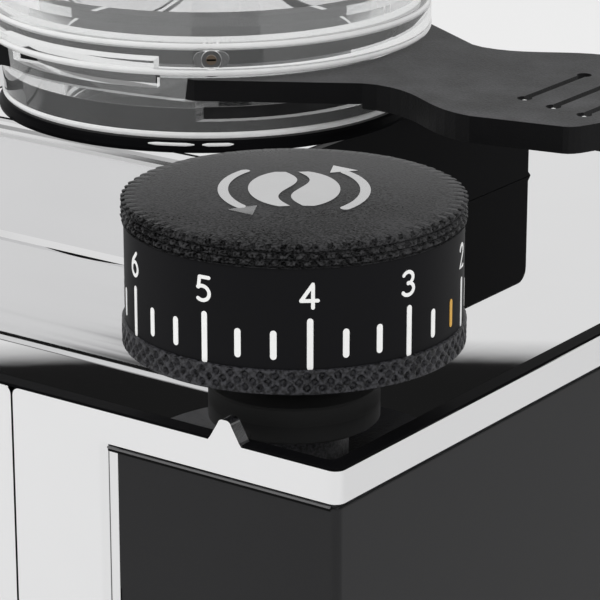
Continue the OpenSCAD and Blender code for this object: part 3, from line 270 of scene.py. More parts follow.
CHROME = Finish("polished_chrome_plate", (0.87, 0.87, 0.875), 1.0, 0.035, size=14 * MM, depth=0.006 * MM,
                tone=0.01, gloss=0.015)
DECK_MIRROR = Finish("mirror_polished_deck", (0.8, 0.8, 0.805), 1.0, 0.012, size=18 * MM,
                     depth=0.002 * MM, tone=0.01, gloss=0.01)
PANEL = Finish("satin_black_panel", (0.02, 0.02, 0.021), 0.0, 0.42, size=0.35 * MM, depth=0.004 * MM,
               tone=0.08, gloss=0.05, specular=0.15)
GLOSS_BLACK = Finish("gloss_black_cheek", (0.003, 0.003, 0.0035), 0.0, 0.12, size=8 * MM,
                     depth=0.01 * MM, specular=0.02)
KNURL = Finish("black_anodised_knurl", (0.024, 0.024, 0.027), 0.0, 0.36, size=0.45 * MM,
               depth=0.09 * MM, tone=0.9, gloss=0.25, specular=0.25, speckle=4.0)
DIAL = Finish("dial_band_black", (0.008, 0.008, 0.009), 0.0, 0.45, size=0.3 * MM, depth=0.002 * MM,
              specular=0.05)
CAP = Finish("grained_black_cap", (0.025, 0.025, 0.026), 0.0, 0.32, size=0.36 * MM, depth=0.04 * MM,
             tone=0.95, gloss=0.2, specular=0.07, cloud=14 * MM, speckle=4.0)
# Its sides carry a painted shade, darker than its grained top.
SLIDER = Finish("grained_black_slider", (0.055, 0.055, 0.057), 0.0, 0.45, size=0.4 * MM,
                depth=0.05 * MM, tone=0.75, gloss=0.2, specular=0.12, cloud=7 * MM, speckle=1.6,
                shaded_sides=(0.006, 0.006, 0.0065))
COLLAR = Finish("collar_black", (0.002, 0.002, 0.0025), 0.0, 0.3, size=0.3 * MM, depth=0.003 * MM,
                specular=0.015)
WHITE_PAINT = Finish("white_filled_mark", (0.96, 0.96, 0.95), 0.0, 0.5, size=0.2 * MM, depth=0.003 * MM,
                     tone=0.02)
ORANGE_PAINT = Finish("orange_filled_mark", (0.72, 0.4, 0.06), 0.0, 0.5, size=0.2 * MM,
                      depth=0.003 * MM, tone=0.04)
INLAY = Finish("bright_nickel_inlay", (0.62, 0.62, 0.625), 1.0, 0.12, size=6 * MM, depth=0.01 * MM,
               tone=0.03)
GASKET = Finish("gasket_rubber", (0.004, 0.004, 0.0045), 0.0, 0.35, size=0.4 * MM, depth=0.01 * MM,
                specular=0.015)
RUBBER = Finish("foot_rubber", (0.02, 0.02, 0.02), 0.0, 0.75, size=0.4 * MM, depth=0.02 * MM)
CASTING = Finish("graphite_powder_coat", (0.045, 0.045, 0.048), 0.0, 0.55, size=0.5 * MM,
                 depth=0.05 * MM, tone=0.15, gloss=0.1)
BRUSHED = Finish("brushed_steel_tray", (0.62, 0.62, 0.63), 1.0, 0.3, Grain.ALONG_X, 0.25 * MM,
                 0.01 * MM, 0.05, 0.12)
SCREW = Finish("turned_screw_steel", (0.62, 0.62, 0.64), 1.0, 0.22, size=0.3 * MM, depth=0.004 * MM)
ZINC = Finish("zinc_plated_sheet", (0.5, 0.51, 0.53), 1.0, 0.4, size=3 * MM, depth=0.01 * MM,
              tone=0.15, gloss=0.15)
CAST_METAL = Finish("cast_aluminium", (0.58, 0.58, 0.59), 1.0, 0.45, size=0.7 * MM, depth=0.04 * MM,
                    tone=0.1, gloss=0.12)
BURR_STEEL = Finish("ground_burr_steel", (0.38, 0.38, 0.39), 1.0, 0.28, size=0.3 * MM,
                    depth=0.01 * MM, tone=0.12)
BRASS = Finish("machined_brass", (0.7, 0.52, 0.26), 1.0, 0.22, Grain.ALONG_Z, 0.3 * MM, 0.004 * MM)
NYLON = Finish("natural_nylon", (0.78, 0.76, 0.7), 0.0, 0.5, size=0.5 * MM, depth=0.01 * MM)
COPPER = Finish("varnished_windings", (0.45, 0.16, 0.06), 0.6, 0.35, Grain.ALONG_Z, 0.5 * MM,
                0.08 * MM, 0.2, 0.1)
MOULDED = Finish("moulded_black", (0.02, 0.02, 0.021), 0.0, 0.45, size=0.35 * MM, depth=0.015 * MM,
                 tone=0.1)
BOARD = Finish("lacquered_board", (0.02, 0.13, 0.05), 0.0, 0.3, size=1.2 * MM, depth=0.01 * MM,
               tone=0.2)
PALE = Finish("pale_moulding", (0.75, 0.75, 0.72), 0.0, 0.4, size=0.6 * MM, depth=0.01 * MM)
SILICONE = Finish("grey_silicone", (0.16, 0.16, 0.165), 0.0, 0.65, size=0.4 * MM, depth=0.02 * MM)
WINDOW = Finish("tinted_window", (0.006, 0.007, 0.01), 0.0, 0.06, size=10 * MM, depth=0.004 * MM,
                coat=0.6)
BUTTON = Finish("turned_button_steel", (0.66, 0.66, 0.67), 1.0, 0.25, size=0.3 * MM,
                depth=0.004 * MM)
LID = Finish("smoked_gloss_lid", (0.03, 0.03, 0.033), 0.0, 0.1, size=12 * MM, depth=0.02 * MM,
             coat=0.5)
CLEAR_BASE = ClearFinish("clear_hopper_base")
# Painted highlight: a white finish for bright lines on the hopper's edges, glints on the gasket and dots
# in the slider's slots.
PAINTED_HIGHLIGHT = Finish("painted_highlight_white", (0.9, 0.9, 0.9), 0.0, 0.2, size=3 * MM, depth=0.02 * MM,
                     tone=0.08, coat=0.4)
LOCK_SCREW = Finish("dull_lock_screw", (0.2, 0.15, 0.11), 0.6, 0.4, size=0.3 * MM, depth=0.004 * MM)
TURRET = Finish("rolled_chrome_cover", (0.88, 0.88, 0.885), 1.0, 0.06, Grain.ALONG_X, 7 * MM,
                0.03 * MM, 0.02, 0.03)
# Painted shade: a dark ring inside the clear base that makes its lower wall look dark.
SHADE_SLEEVE = Finish("painted_shade_insert", (0.03, 0.03, 0.031), 0.0, 0.3, size=5 * MM, depth=0.02 * MM,
                tone=0.4, specular=0.1, cloud=9 * MM)
# Painted highlight and painted shade: a grey that reads as a light line on the black panels, and as a
# dark line on chrome and in the screw's recess.
HIGHLIGHT_AND_SHADE_GREY = Finish("grey_highlight_and_shade", (0.14, 0.14, 0.142), 0.0, 0.35, size=0.6 * MM, depth=0.01 * MM,
              specular=0.2)
# Painted shade: black laid into slot floors, a screw's slot and the gaps beside the side panels, where
# shadow falls.
SHADE_BLACK = Finish("painted_shade_black", (0.004, 0.004, 0.004), 0.0, 0.5, size=0.3 * MM, depth=0.01 * MM,
              specular=0.05)

NODE_FINISH: dict[str, Finish | ClearFinish] = {
    "base_casting": CASTING, "feet": RUBBER, "grounds_tray": BRUSHED, "chassis_frame": ZINC,
    "corner_frame_right": CHROME, "corner_frame_left": CHROME, "front_fascia": CHROME,
    "side_panel_right": PANEL, "side_panel_left": PANEL, "top_deck": DECK_MIRROR,
    "turret_cover": TURRET, "turret_cheeks": GLOSS_BLACK, "back_panel": PANEL,
    "case_screws": SCREW, "mains_inlet": MOULDED, "inlet_pins": BRASS, "power_rocker": MOULDED,
    "display_window": WINDOW, "display_board": BOARD, "dose_button_single": BUTTON,
    "dose_button_double": BUTTON, "dose_button_manual": BUTTON, "spout_nozzle": MOULDED,
    "clump_flap": SILICONE, "discharge_chute": CAST_METAL, "portafilter_fork": CHROME,
    "start_button": MOULDED, "grind_chamber": CAST_METAL, "chamber_bolts": SCREW,
    "lower_burr": BURR_STEEL, "lower_burr_carrier": CAST_METAL, "lower_burr_screws": SCREW,
    "upper_burr": BURR_STEEL, "upper_burr_carrier": CAST_METAL, "upper_burr_screws": SCREW,
    "carrier_springs": SCREW, "adjusting_ring": BRASS, "ring_retainer": ZINC, "gear_plate": ZINC,
    "idler_gear": NYLON, "adjust_pinion": BRASS, "motor_housing": CAST_METAL,
    "motor_stator": COPPER, "motor_rotor": SCREW, "motor_bearings": SCREW, "cooling_fan": MOULDED,
    "run_capacitor": PALE, "control_board": BOARD, "bean_funnel": MOULDED, "knob_collar": COLLAR,
    "knob_shaft": SCREW, "knob_skirt": KNURL, "dial_band": DIAL, "knob_cap": CAP,
    "hopper_gasket": GASKET, "gate_slider": SLIDER, "hopper_lid": LID, "hopper_lock_screw": LOCK_SCREW,
    "hopper_base": CLEAR_BASE, "hopper_body": CLEAR_BASE,
}


# ------------------------------------------------------------------ mesh helpers


@dataclass
class Maker:
    """Makes meshes in the row frame, dresses them and seats them on their bodies."""

    made: list[bpy.types.Object] = field(default_factory=list)

    def piece(self, name: str, verts: Sequence[Sequence[float]], faces: Iterable[Sequence[int]],
              finish: Any, body: str, slot: str, replaces: Sequence[str] = (),
              angle: float = 32.0) -> bpy.types.Object:
        """Makes one piece from points and faces.

        Args:
            name: the piece's name.
            verts: its points, in metres.
            faces: its faces, as numbers of points.
            finish: the finish it wears.
            body: the body it rides on; empty for a piece left on no body.
            slot: the record's material slot; not used.
            replaces: CAD nodes that it stands for.
            angle: edges sharper than this, in degrees, stay sharp.

        Returns:
            The new object.
        """
        mesh = bpy.data.meshes.new(name)
        mesh.from_pydata([tuple(v) for v in verts], [], [tuple(f) for f in faces])
        work = bmesh.new()
        work.from_mesh(mesh)
        bmesh.ops.remove_doubles(work, verts=work.verts, dist=1e-7)
        bmesh.ops.recalc_face_normals(work, faces=work.faces)
        work.to_mesh(mesh)
        work.free()
        mesh.shade_smooth()
        mesh.set_sharp_from_angle(angle=math.radians(angle))
        mesh.materials.append(finish.material())
        made = bpy.data.objects.new(name, mesh)
        bpy.context.scene.collection.objects.link(made)
        if body:
            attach(made, body)
        if replaces:
            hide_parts(*replaces)
        self.made.append(made)
        log.info("piece %s on %s: %d faces", name, body, len(mesh.polygons))
        return made

    def lathe(self, rings: Sequence[Callable[[float], Point2]], centre: Point2,
              columns: int) -> tuple[list[Vector], list[tuple[int, ...]]]:
        """Turns a closed row of profile points into a solid.

        Args:
            rings: one function per profile point, from an angle to a radius and a height.
            centre: the axis's x and y.
            columns: steps round the axis.

        Returns:
            The points and faces.
        """
        verts, faces = [], []
        for ring in rings:
            for i in range(columns):
                a = 2 * math.pi * i / columns
                r, z = ring(a)
                verts.append(Vector((centre[0] + r * math.cos(a), centre[1] + r * math.sin(a), z)))
        n = len(rings)
        for j in range(n):
            k = (j + 1) % n
            for i in range(columns):
                m = (i + 1) % columns
                faces.append((j * columns + i, j * columns + m, k * columns + m, k * columns + i))
        return verts, faces

    def turned(self, name: str, profile: Sequence[Point2], centre: Point2, finish: Any, body: str,
               slot: str, replaces: Sequence[str] = (), columns: int = 160,
               angle: float = 32.0) -> bpy.types.Object:
        """A plain turned piece from a closed profile of radii and heights."""
        rings = [(lambda a, p=p: p) for p in profile]
        verts, faces = self.lathe(rings, centre, columns)
        return self.piece(name, verts, faces, finish, body, slot, replaces, angle)

    def bevel(self, made: bpy.types.Object, width: float, segments: int = 2,
              angle: float = 35.0) -> bpy.types.Object:
        """Rounds a piece's sharp edges with modifiers."""
        weld = made.modifiers.new("weld", "WELD")
        weld.merge_threshold = 1e-6
        round_edge = made.modifiers.new("edge", "BEVEL")
        round_edge.width = width
        round_edge.segments = segments
        round_edge.limit_method = "ANGLE"
        round_edge.angle_limit = math.radians(angle)
        round_edge.use_clamp_overlap = True
        round_edge.harden_normals = True
        return made

    def prism(self, outline: Sequence[Point2], place: Callable[[float, float, float], Vector],
              low: float, high: float) -> tuple[list[Vector], list[tuple[int, ...]]]:
        """A prism over an outline.

        Args:
            outline: its corners, in order.
            place: from the outline's two coordinates and a height to a point.
            low: the lower height.
            high: the upper height.

        Returns:
            The points and faces.
        """
        n = len(outline)
        verts = [place(u, v, h) for h in (low, high) for u, v in outline]
        faces: list[tuple[int, ...]] = [tuple(range(n)), tuple(range(2 * n - 1, n - 1, -1))]
        faces += [(i, (i + 1) % n, (i + 1) % n + n, i + n) for i in range(n)]
        return verts, faces

    def prisms(self, outlines: Iterable[Sequence[Point2]],
               place: Callable[[float, float, float], Vector],
               low: float, high: float) -> tuple[list[Vector], list[tuple[int, ...]]]:
        """Prisms over several outlines, as one row of points and one of faces."""
        verts: list[Vector] = []
        faces: list[tuple[int, ...]] = []
        for outline in outlines:
            v, f = self.prism(outline, place, low, high)
            faces += [tuple(i + len(verts) for i in face) for face in f]
            verts += v
        return verts, faces


def arc(cx: float, cy: float, rx: float, ry: float, a0: float, a1: float,
        n: int = 10) -> list[Point2]:
    """Points on an arc of an ellipse, from angle a0 to a1 in degrees."""
    return [(cx + rx * math.cos(math.radians(a0 + (a1 - a0) * i / n)),
             cy + ry * math.sin(math.radians(a0 + (a1 - a0) * i / n))) for i in range(n + 1)]


def stroke(path: Sequence[Point2], width: float, caps: int = 6) -> list[Point2]:
    """Outline of a round-ended stroke along an open path."""
    left, right = [], []
    n = len(path)
    for i, (x, y) in enumerate(path):
        ax, ay = path[max(i - 1, 0)]
        bx, by = path[min(i + 1, n - 1)]
        length = math.hypot(bx - ax, by - ay) or 1.0
        nx, ny = -(by - ay) / length * width / 2, (bx - ax) / length * width / 2
        left.append((x + nx, y + ny))
        right.append((x - nx, y - ny))

    def cap(end: Point2, start: Point2) -> list[Point2]:
        """Half a circle from start round the path's end."""
        a = math.atan2(start[1] - end[1], start[0] - end[0])
        return [(end[0] + width / 2 * math.cos(a - math.pi * k / caps),
                 end[1] + width / 2 * math.sin(a - math.pi * k / caps)) for k in range(1, caps)]

    return left + cap(path[-1], left[-1]) + right[::-1] + cap(path[0], right[0])


# ------------------------------------------------------------------ the grinder's pieces


@dataclass
class CaseWork:
    """Chrome frames, panels, deck, turret and everything inside the case."""

    maker: Maker
    edge: float = 0.25 * MM
    rim_drop: float = 2.1 * MM
    rim_round: float = 1.6 * MM

    def dress(self) -> None:
        """Gives every CAD node its finish and the rigid ones their rounded edges."""
        for name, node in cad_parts.items():
            finish = NODE_FINISH[name]
            node.data.materials.clear()
            node.data.materials.append(finish.material())
            log.info("node %s wears %s", name, finish.name)
        for name in ("front_fascia", "turret_cheeks", "portafilter_fork", "base_casting",
                     "side_panel_right", "side_panel_left", "corner_frame_right",
                     "corner_frame_left", "spout_nozzle", "grounds_tray", "back_panel"):
            self.maker.bevel(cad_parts[name], self.edge)
        self.seal()
        self.painted_edge_lines()
        self.springs()

    def painted_edge_lines(self) -> None:
        """Painted highlight and painted shade between the chrome frame and each side panel: light grey
        and black bars under the rim, and a black and a grey line at the panel's edge.
        """
        for side, frame_name, panel_name in ((1, "corner_frame_right", "side_panel_right"),
                                             (-1, "corner_frame_left", "side_panel_left")):
            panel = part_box(panel_name)
            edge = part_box(frame_name)
            hand = "right" if side > 0 else "left"
            rim_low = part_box("top_deck")[1].z - self.rim_drop
            outer = edge[1].x if side > 0 else edge[0].x
            inner = panel[0].x if side > 0 else panel[1].x
            front = panel[0].y
            start = inner - side * 1.7 * MM
            # Painted highlight in a light grey bar and painted shade in a black bar, under the rim.
            bars = (("highlight_bar", start, outer - side * 1.6 * MM, 0.45, 0.8, 0.3, HIGHLIGHT_AND_SHADE_GREY),
                    ("shade_bar", start, outer - side * 1.6 * MM, 0.8, 1.25, 0.12, SHADE_BLACK))
            for name, x0, x1, top, bottom, proud, finish in bars:
                self.bar(f"{name}_{hand}", (x0, x1),
                         (front - proud * MM, front + 0.1 * MM),
                         (rim_low - bottom * MM, rim_low - top * MM), finish)
            # Painted shade: a black line on the panel's edge and a grey line on the chrome beside it.
            for name, x0, x1, finish in (("shade_upright", -0.02, 0.3, SHADE_BLACK),
                                         ("stile_shade_line", -1.75, -1.6, HIGHLIGHT_AND_SHADE_GREY)):
                self.bar(f"{name}_{hand}", (inner + side * x0 * MM, inner + side * x1 * MM),
                         (front - 0.06 * MM, front + 0.1 * MM),
                         (panel[0].z, rim_low - 0.5 * MM), finish)

    def springs(self) -> None:
        """The carrier's springs, which in the grinder shorten between the carrier and the fixed ring
        retainer, copied as one piece on no body.
        """
        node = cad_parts["carrier_springs"]
        verts = [node.matrix_world @ v.co for v in node.data.vertices]
        faces = [tuple(p.vertices) for p in node.data.polygons]
        made = self.maker.piece("carrier_coils", verts, faces, SCREW, "", "screw_steel",
                                ["carrier_springs"], angle=50)
        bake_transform(made)

    def bar(self, name: str, x: Point2, y: Point2, z: Point2, finish: Finish) -> None:
        """One slim bar with a rounded front.

        Args:
            name: the piece's name.
            x: its ends along x.
            y: its front and back.
            z: its underside and top.
            finish: the finish it wears.
        """
        tall = z[1] - z[0]
        section = [(y[1], z[0]), (y[1], z[1])] + [
            (y[0] + (1 - math.cos(a * math.pi / 4)) * min(0.1 * MM, tall / 2),
             z[1] - tall * (0.5 + 0.5 * math.sin(a * math.pi / 4))) for a in (-2, -1, 0, 1, 2)]
        verts, faces = self.maker.prism(section, lambda v, w, at: Vector((at, v, w)), *x)
        self.maker.piece(name, verts, faces, finish, "case", "gasket_black")

    def seal(self) -> None:
        """A black sealing strip let into the top of the chrome rim."""
        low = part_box("corner_frame_left")[0]
        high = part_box("corner_frame_right")[1]
        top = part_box("corner_frame_left")[1].z
        left, right = low.x, high.x
        front, back = low.y, high.y

        def loop(inset: float) -> list[Point2]:
            """A rounded rectangle inside the rim's outline."""
            r = self.rim_round
            points: list[Point2] = []
            for cx, cy, a in ((right - inset - r, back - inset - r, 0),
                              (left + inset + r, back - inset - r, 90),
                              (left + inset + r, front + inset + r, 180),
                              (right - inset - r, front + inset + r, 270)):
                points += arc(cx, cy, r, r, a, a + 90, 6)
            return points

        outer, crest, inner = loop(0.35 * MM), loop(0.5 * MM), loop(2.9 * MM)
        rows = [[(x, y, z) for x, y in points] for points, z in
                ((outer, top - 0.15 * MM), (outer, top + 0.1 * MM), (crest, top + 0.22 * MM),
                 (inner, top + 0.22 * MM), (inner, top - 0.15 * MM))]
        n = len(outer)
        verts = [Vector(p) for row in rows for p in row]
        faces = [(j * n + i, j * n + (i + 1) % n, (j + 1) % 5 * n + (i + 1) % n, (j + 1) % 5 * n + i)
                 for j in range(5) for i in range(n)]
        self.maker.piece("rim_seal", verts, faces, GASKET, "case", "gasket_black")


@dataclass
class Knob:
    """The adjusting knob: knurled rings, numbered band, cap and inlay."""

    maker: Maker
    knurls: int = 72
    number_turn: float = -49.0
    number_pitch: float = 35.4
    orange_turn: float = 10.3
    dome: float = 0.8 * MM
    columns: int = 72 * 14
    skirt_h: float = 3.6 * MM
    tick_wide: float = 0.92 * MM
    tick_major: Point2 = (0.3 * MM, 7.45 * MM)
    tick_minor: Point2 = (1.4 * MM, 5.65 * MM)
    digit_low: float = 8.95 * MM
    digit_size: Point2 = (2.26 * MM, 3.35 * MM)
    digit_line: float = 0.53 * MM
    mark_relief: Point2 = (-0.05 * MM, 0.06 * MM)
    inlay_turn: float = -52.0
    inlay_relief: Point2 = (-0.1 * MM, 0.14 * MM)

    def __post_init__(self) -> None:
        """Reads the knob's place and sizes from its nodes."""
        low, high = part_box("dial_band")
        self.centre: Point2 = ((low.x + high.x) / 2, (low.y + high.y) / 2)
        self.band_r = (high.x - low.x) / 2
        self.band_low, self.band_high = low.z, high.z
        self.skirt_low = self.band_low - self.skirt_h
        self.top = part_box("knob_cap")[1].z
        self.radius = (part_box("knob_cap")[1].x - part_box("knob_cap")[0].x) / 2

    def crown(self, r: float) -> float:
        """Height of the gently domed cap at a radius."""
        return self.top + self.dome * (1 - (r / self.radius) ** 2)

    def rough(self, a: float, z: float, amount: float) -> float:
        """A small unevenness of the knurl at an angle and height."""
        return amount * noise.noise(Vector((math.cos(a) * 40, math.sin(a) * 40, z * 1600)))

    def skirt(self) -> None:
        """The lower ring with staggered rows of diamond pits."""
        rows, steps, lip = 3, 8, 0.42 * MM
        deep, wander = 0.62 * MM, 0.07 * MM
        height = self.band_low - self.skirt_low
        pitch = (height - 2 * lip) / rows

        def pit(a: float, z: float) -> float:
            """Depth of the knurl."""
            deepest = 0.0
            for k in range(rows):
                dz = abs(z - (self.skirt_low + lip + (k + 0.5) * pitch)) / (pitch * 0.7)
                turn = a / (2 * math.pi) * self.knurls + (0.5 if k % 2 else 0.0)
                ds = abs(turn - round(turn)) / 0.29
                deepest = max(deepest, 1.0 - (dz ** 1.4 + ds ** 1.4))
            return max(0.0, min(1.0, deepest * 1.7))

        rings: list[Callable[[float], Point2]] = []
        levels = [self.skirt_low + 0.15 * MM + (height - 0.3 * MM) * i / (rows * steps)
                  for i in range(rows * steps + 1)]
        hub, bore = 8 * MM, 4.05 * MM
        pocket = self.skirt_low + 2 * MM
        inner = self.band_r - 4 * MM
        hub_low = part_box("knob_skirt")[0].z
        for r, z in ((bore, hub_low), (hub - 0.3 * MM, hub_low), (hub, hub_low + 0.3 * MM),
                     (hub, self.skirt_low), (self.radius - 0.2 * MM, self.skirt_low)):
            rings.append(lambda a, r=r, z=z: (r, z))
        for z in levels:
            rings.append(lambda a, z=z: (
                self.radius - 0.05 * MM - deep * pit(a, z) - self.rough(a, z, wander), z))
        rings.append(lambda a: (self.radius - 0.3 * MM, self.band_low))
        for r, z in ((inner, self.band_low), (inner, pocket), (hub + 1 * MM, pocket),
                     (hub + 1 * MM, self.band_low + 8 * MM), (bore, self.band_low + 8 * MM)):
            rings.append(lambda a, r=r, z=z: (r, z))
        verts, faces = self.maker.lathe(rings, self.centre, self.columns)
        self.maker.piece("knob_lower_knurl", verts, faces, KNURL, "knob", "knurl_black",
                         ["knob_skirt"], angle=60)

    def cap(self) -> None:
        """The cap with three rows of beads round its edge."""
        rows, steps = 3, 8
        deep, wander = 0.85 * MM, 0.16 * MM
        low = self.band_high
        height = self.top - low - 0.15 * MM

        def bead(a: float, v: float) -> float:
            """Depth below the beads' crowns at height share v."""
            row = min(rows - 1, int(v * rows))
            t = v * rows - row
            turn = a / (2 * math.pi) * self.knurls + (0.5 if row % 2 else 0.0)
            s = turn - math.floor(turn)
            last = row == rows - 1
            groove = 0.8 * (1.0 - max(0.0, math.sin(math.pi * t * (0.5 if last else 1.0))) ** 0.7)
            hole = 1.0 - (abs(s - 0.5) / 0.3) ** 1.5 - (abs(t - (0.8 if last else 0.45)) / 0.55) ** 1.5
            return max(groove, min(1.0, 1.6 * hole))

        rings: list[Callable[[float], Point2]] = [
            lambda a: (18 * MM, low), lambda a: (self.radius - 0.45 * MM, low),
            lambda a: (self.radius - 0.25 * MM, low + 0.12 * MM)]
        for i in range(rows * steps + 1):
            v = i / (rows * steps)
            z = low + 0.25 * MM + (height - 0.25 * MM) * v
            rings.append(lambda a, v=v, z=z: (
                self.radius - 0.1 * MM - deep * bead(a, min(v, 0.999))
                - self.rough(a, z, wander), z))
        for share in (0.97, 0.9, 0.8, 0.65, 0.5, 0.35, 0.2, 0.0):
            r = max(share * self.radius, 0.01 * MM)
            rings.append(lambda a, r=r: (r, self.crown(r)))
        rings.append(lambda a: (0.01 * MM, low + 1 * MM))
        rings.append(lambda a: (17.9 * MM, low + 1 * MM))
        verts, faces = self.maker.lathe(rings, self.centre, self.columns)
        self.maker.piece("knob_cap_beaded", verts, faces, CAP, "knob", "dial_black",
                         ["knob_cap"], angle=60)

    def band(self) -> None:
        """The numbered band, finer than its CAD tube."""
        r, t = self.band_r, 1.5 * MM
        self.maker.turned("dial_sleeve", [(r - t, self.band_low), (r - 0.05 * MM, self.band_low),
                                          (r, self.band_low + 0.05 * MM), (r, self.band_high - 0.05 * MM),
                                          (r - 0.05 * MM, self.band_high), (r - t, self.band_high)],
                          self.centre, DIAL, "knob", "dial_black", ["dial_band"], columns=360)

    def on_band(self, turn: float) -> Callable[[float, float, float], Vector]:
        """Wraps flat marks onto the band about an angle in degrees."""
        def place(u: float, v: float, h: float) -> Vector:
            """From a distance round, a height and a relief to a point."""
            a = math.radians(turn) + u / self.band_r
            r = self.band_r + h
            return Vector((self.centre[0] + r * math.cos(a), self.centre[1] + r * math.sin(a), v))
        return place

    def mark(self, name: str, turn: float, outlines: Sequence[Sequence[Point2]], finish: Finish) -> None:
        """Adds one filled mark to the band."""
        verts, faces = self.maker.prisms(outlines, self.on_band(turn), *self.mark_relief)
        self.maker.piece(name, verts, faces, finish, "knob", "dial_black")

    def marks(self) -> None:
        """All ticks and numbers of the dial."""
        z, wide = self.band_low, self.tick_wide
        low, high = z + self.tick_minor[0] + wide / 2, z + self.tick_minor[1] - wide / 2
        for n in range(10):
            turn = self.number_turn - self.number_pitch * (n - 4)
            tick = stroke([(0, z + self.tick_major[0]), (0, z + self.tick_major[1] - wide / 2)],
                          wide * 0.95)
            self.mark(f"tick_major_{n}", turn, [tick], WHITE_PAINT)
            self.mark(f"number_{n}", turn, self.digit(n), WHITE_PAINT)
            for k in (1, 2):
                at = turn - self.number_pitch / 3 * k
                if abs((at - self.orange_turn + 180) % 360 - 180) < 3:
                    continue
                small = stroke([(0, low), (0, high)], wide)
                self.mark(f"tick_minor_{n}_{k}", at, [small], WHITE_PAINT)
        gold = stroke([(0, low), (0, high)], wide * 0.9)
        self.mark("tick_setting", self.orange_turn, [gold], ORANGE_PAINT)

    def digit(self, n: int) -> list[list[Point2]]:
        """Stroked outlines of a thin figure, centred over its tick."""
        w, h = self.digit_size
        paths: dict[int, list[list[Point2]]] = {
            0: [arc(0.5, 0.5, 0.46, 0.5, 90, 450, 24)],
            1: [[(0.18, 0.78), (0.55, 1.0), (0.55, 0.0)]],
            2: [arc(0.48, 0.72, 0.42, 0.28, 165, -20, 12) + [(0.04, 0.0), (0.96, 0.0)]],
            3: [arc(0.42, 0.75, 0.4, 0.25, 150, -90, 12), arc(0.42, 0.26, 0.46, 0.26, 90, -150, 14)],
            4: [[(0.72, 0.0), (0.72, 1.0)], [(0.72, 1.0), (0.0, 0.3)],
                [(i * 0.255, 0.3) for i in range(5)]],
            5: [[(0.9, 1.0), (0.24, 1.0)], [(0.24, 1.0), (0.16, 0.55)],
                arc(0.42, 0.31, 0.5, 0.31, 128, -128, 18)],
            6: [[(0.74, 1.0)] + arc(1.0, 0.3, 0.94, 0.62, 125, 180, 8),
                arc(0.5, 0.3, 0.44, 0.3, 0, 360, 24)],
            7: [[(0.04, 1.0), (0.92, 1.0), (0.34, 0.0)]],
            8: [arc(0.5, 0.76, 0.36, 0.24, 0, 360, 20), arc(0.5, 0.27, 0.44, 0.27, 0, 360, 22)],
            9: [[(0.26, 0.0)] + arc(0.0, 0.7, 0.94, 0.62, -55, 0, 8),
                arc(0.5, 0.7, 0.44, 0.3, 0, 360, 24)],
        }
        low = self.band_low + self.digit_low
        return [stroke([((x - 0.55) * w, low + y * h) for x, y in path], self.digit_line)
                for path in paths[n]]

    def inlay(self) -> None:
        """A bright coffee bean let into the cap, between two turning arrows."""
        turn = math.radians(self.inlay_turn + 90)

        def place(u: float, v: float, h: float) -> Vector:
            """From the inlay's own axes to the cap's top."""
            x = u * math.cos(turn) - v * math.sin(turn)
            y = u * math.sin(turn) + v * math.cos(turn)
            return Vector((self.centre[0] + x, self.centre[1] + y, self.crown(math.hypot(x, y)) + h))

        def half(side: float) -> list[Point2]:
            """One half of the bean, along the curved split."""
            split = [(0.9 * MM * side + 1.5 * MM * math.sin(math.pi * t), 8.6 * MM * t) for t in
                     [i / 12 for i in range(-12, 13)]]
            a0 = math.degrees(math.asin(0.93))
            rim = arc(0, 0, 6.6 * MM, 9.4 * MM, a0 if side > 0 else 180 - a0,
                      -a0 if side > 0 else 180 + a0, 24)
            return split + rim

        parts = [half(1.0), half(-1.0)]
        for side in (1.0, -1.0):
            sweep = arc(0, 0, 10.2 * MM, 13.0 * MM, -48, 40, 16)
            ring = stroke(sweep, 1.5 * MM)
            tip = sweep[-1]
            head = [(tip[0] - 2.3 * MM, tip[1] - 0.3 * MM), (tip[0] + 1.9 * MM, tip[1] + 1.1 * MM),
                    (tip[0] - 1.6 * MM, tip[1] + 4.0 * MM)]
            for outline in (ring, head):
                turned = [(x * side, y * side) for x, y in outline]
                area = sum(turned[i - 1][0] * turned[i][1] - turned[i][0] * turned[i - 1][1]
                           for i in range(len(turned)))
                parts.append(turned if area > 0 else turned[::-1])
        verts, faces = self.maker.prisms(parts, place, *self.inlay_relief)
        self.maker.piece("cap_bean_inlay", verts, faces, INLAY, "knob", "button_steel")

    def build(self) -> None:
        """Makes the whole knob."""
        self.skirt()
        self.band()
        self.cap()
        self.marks()
        self.inlay()


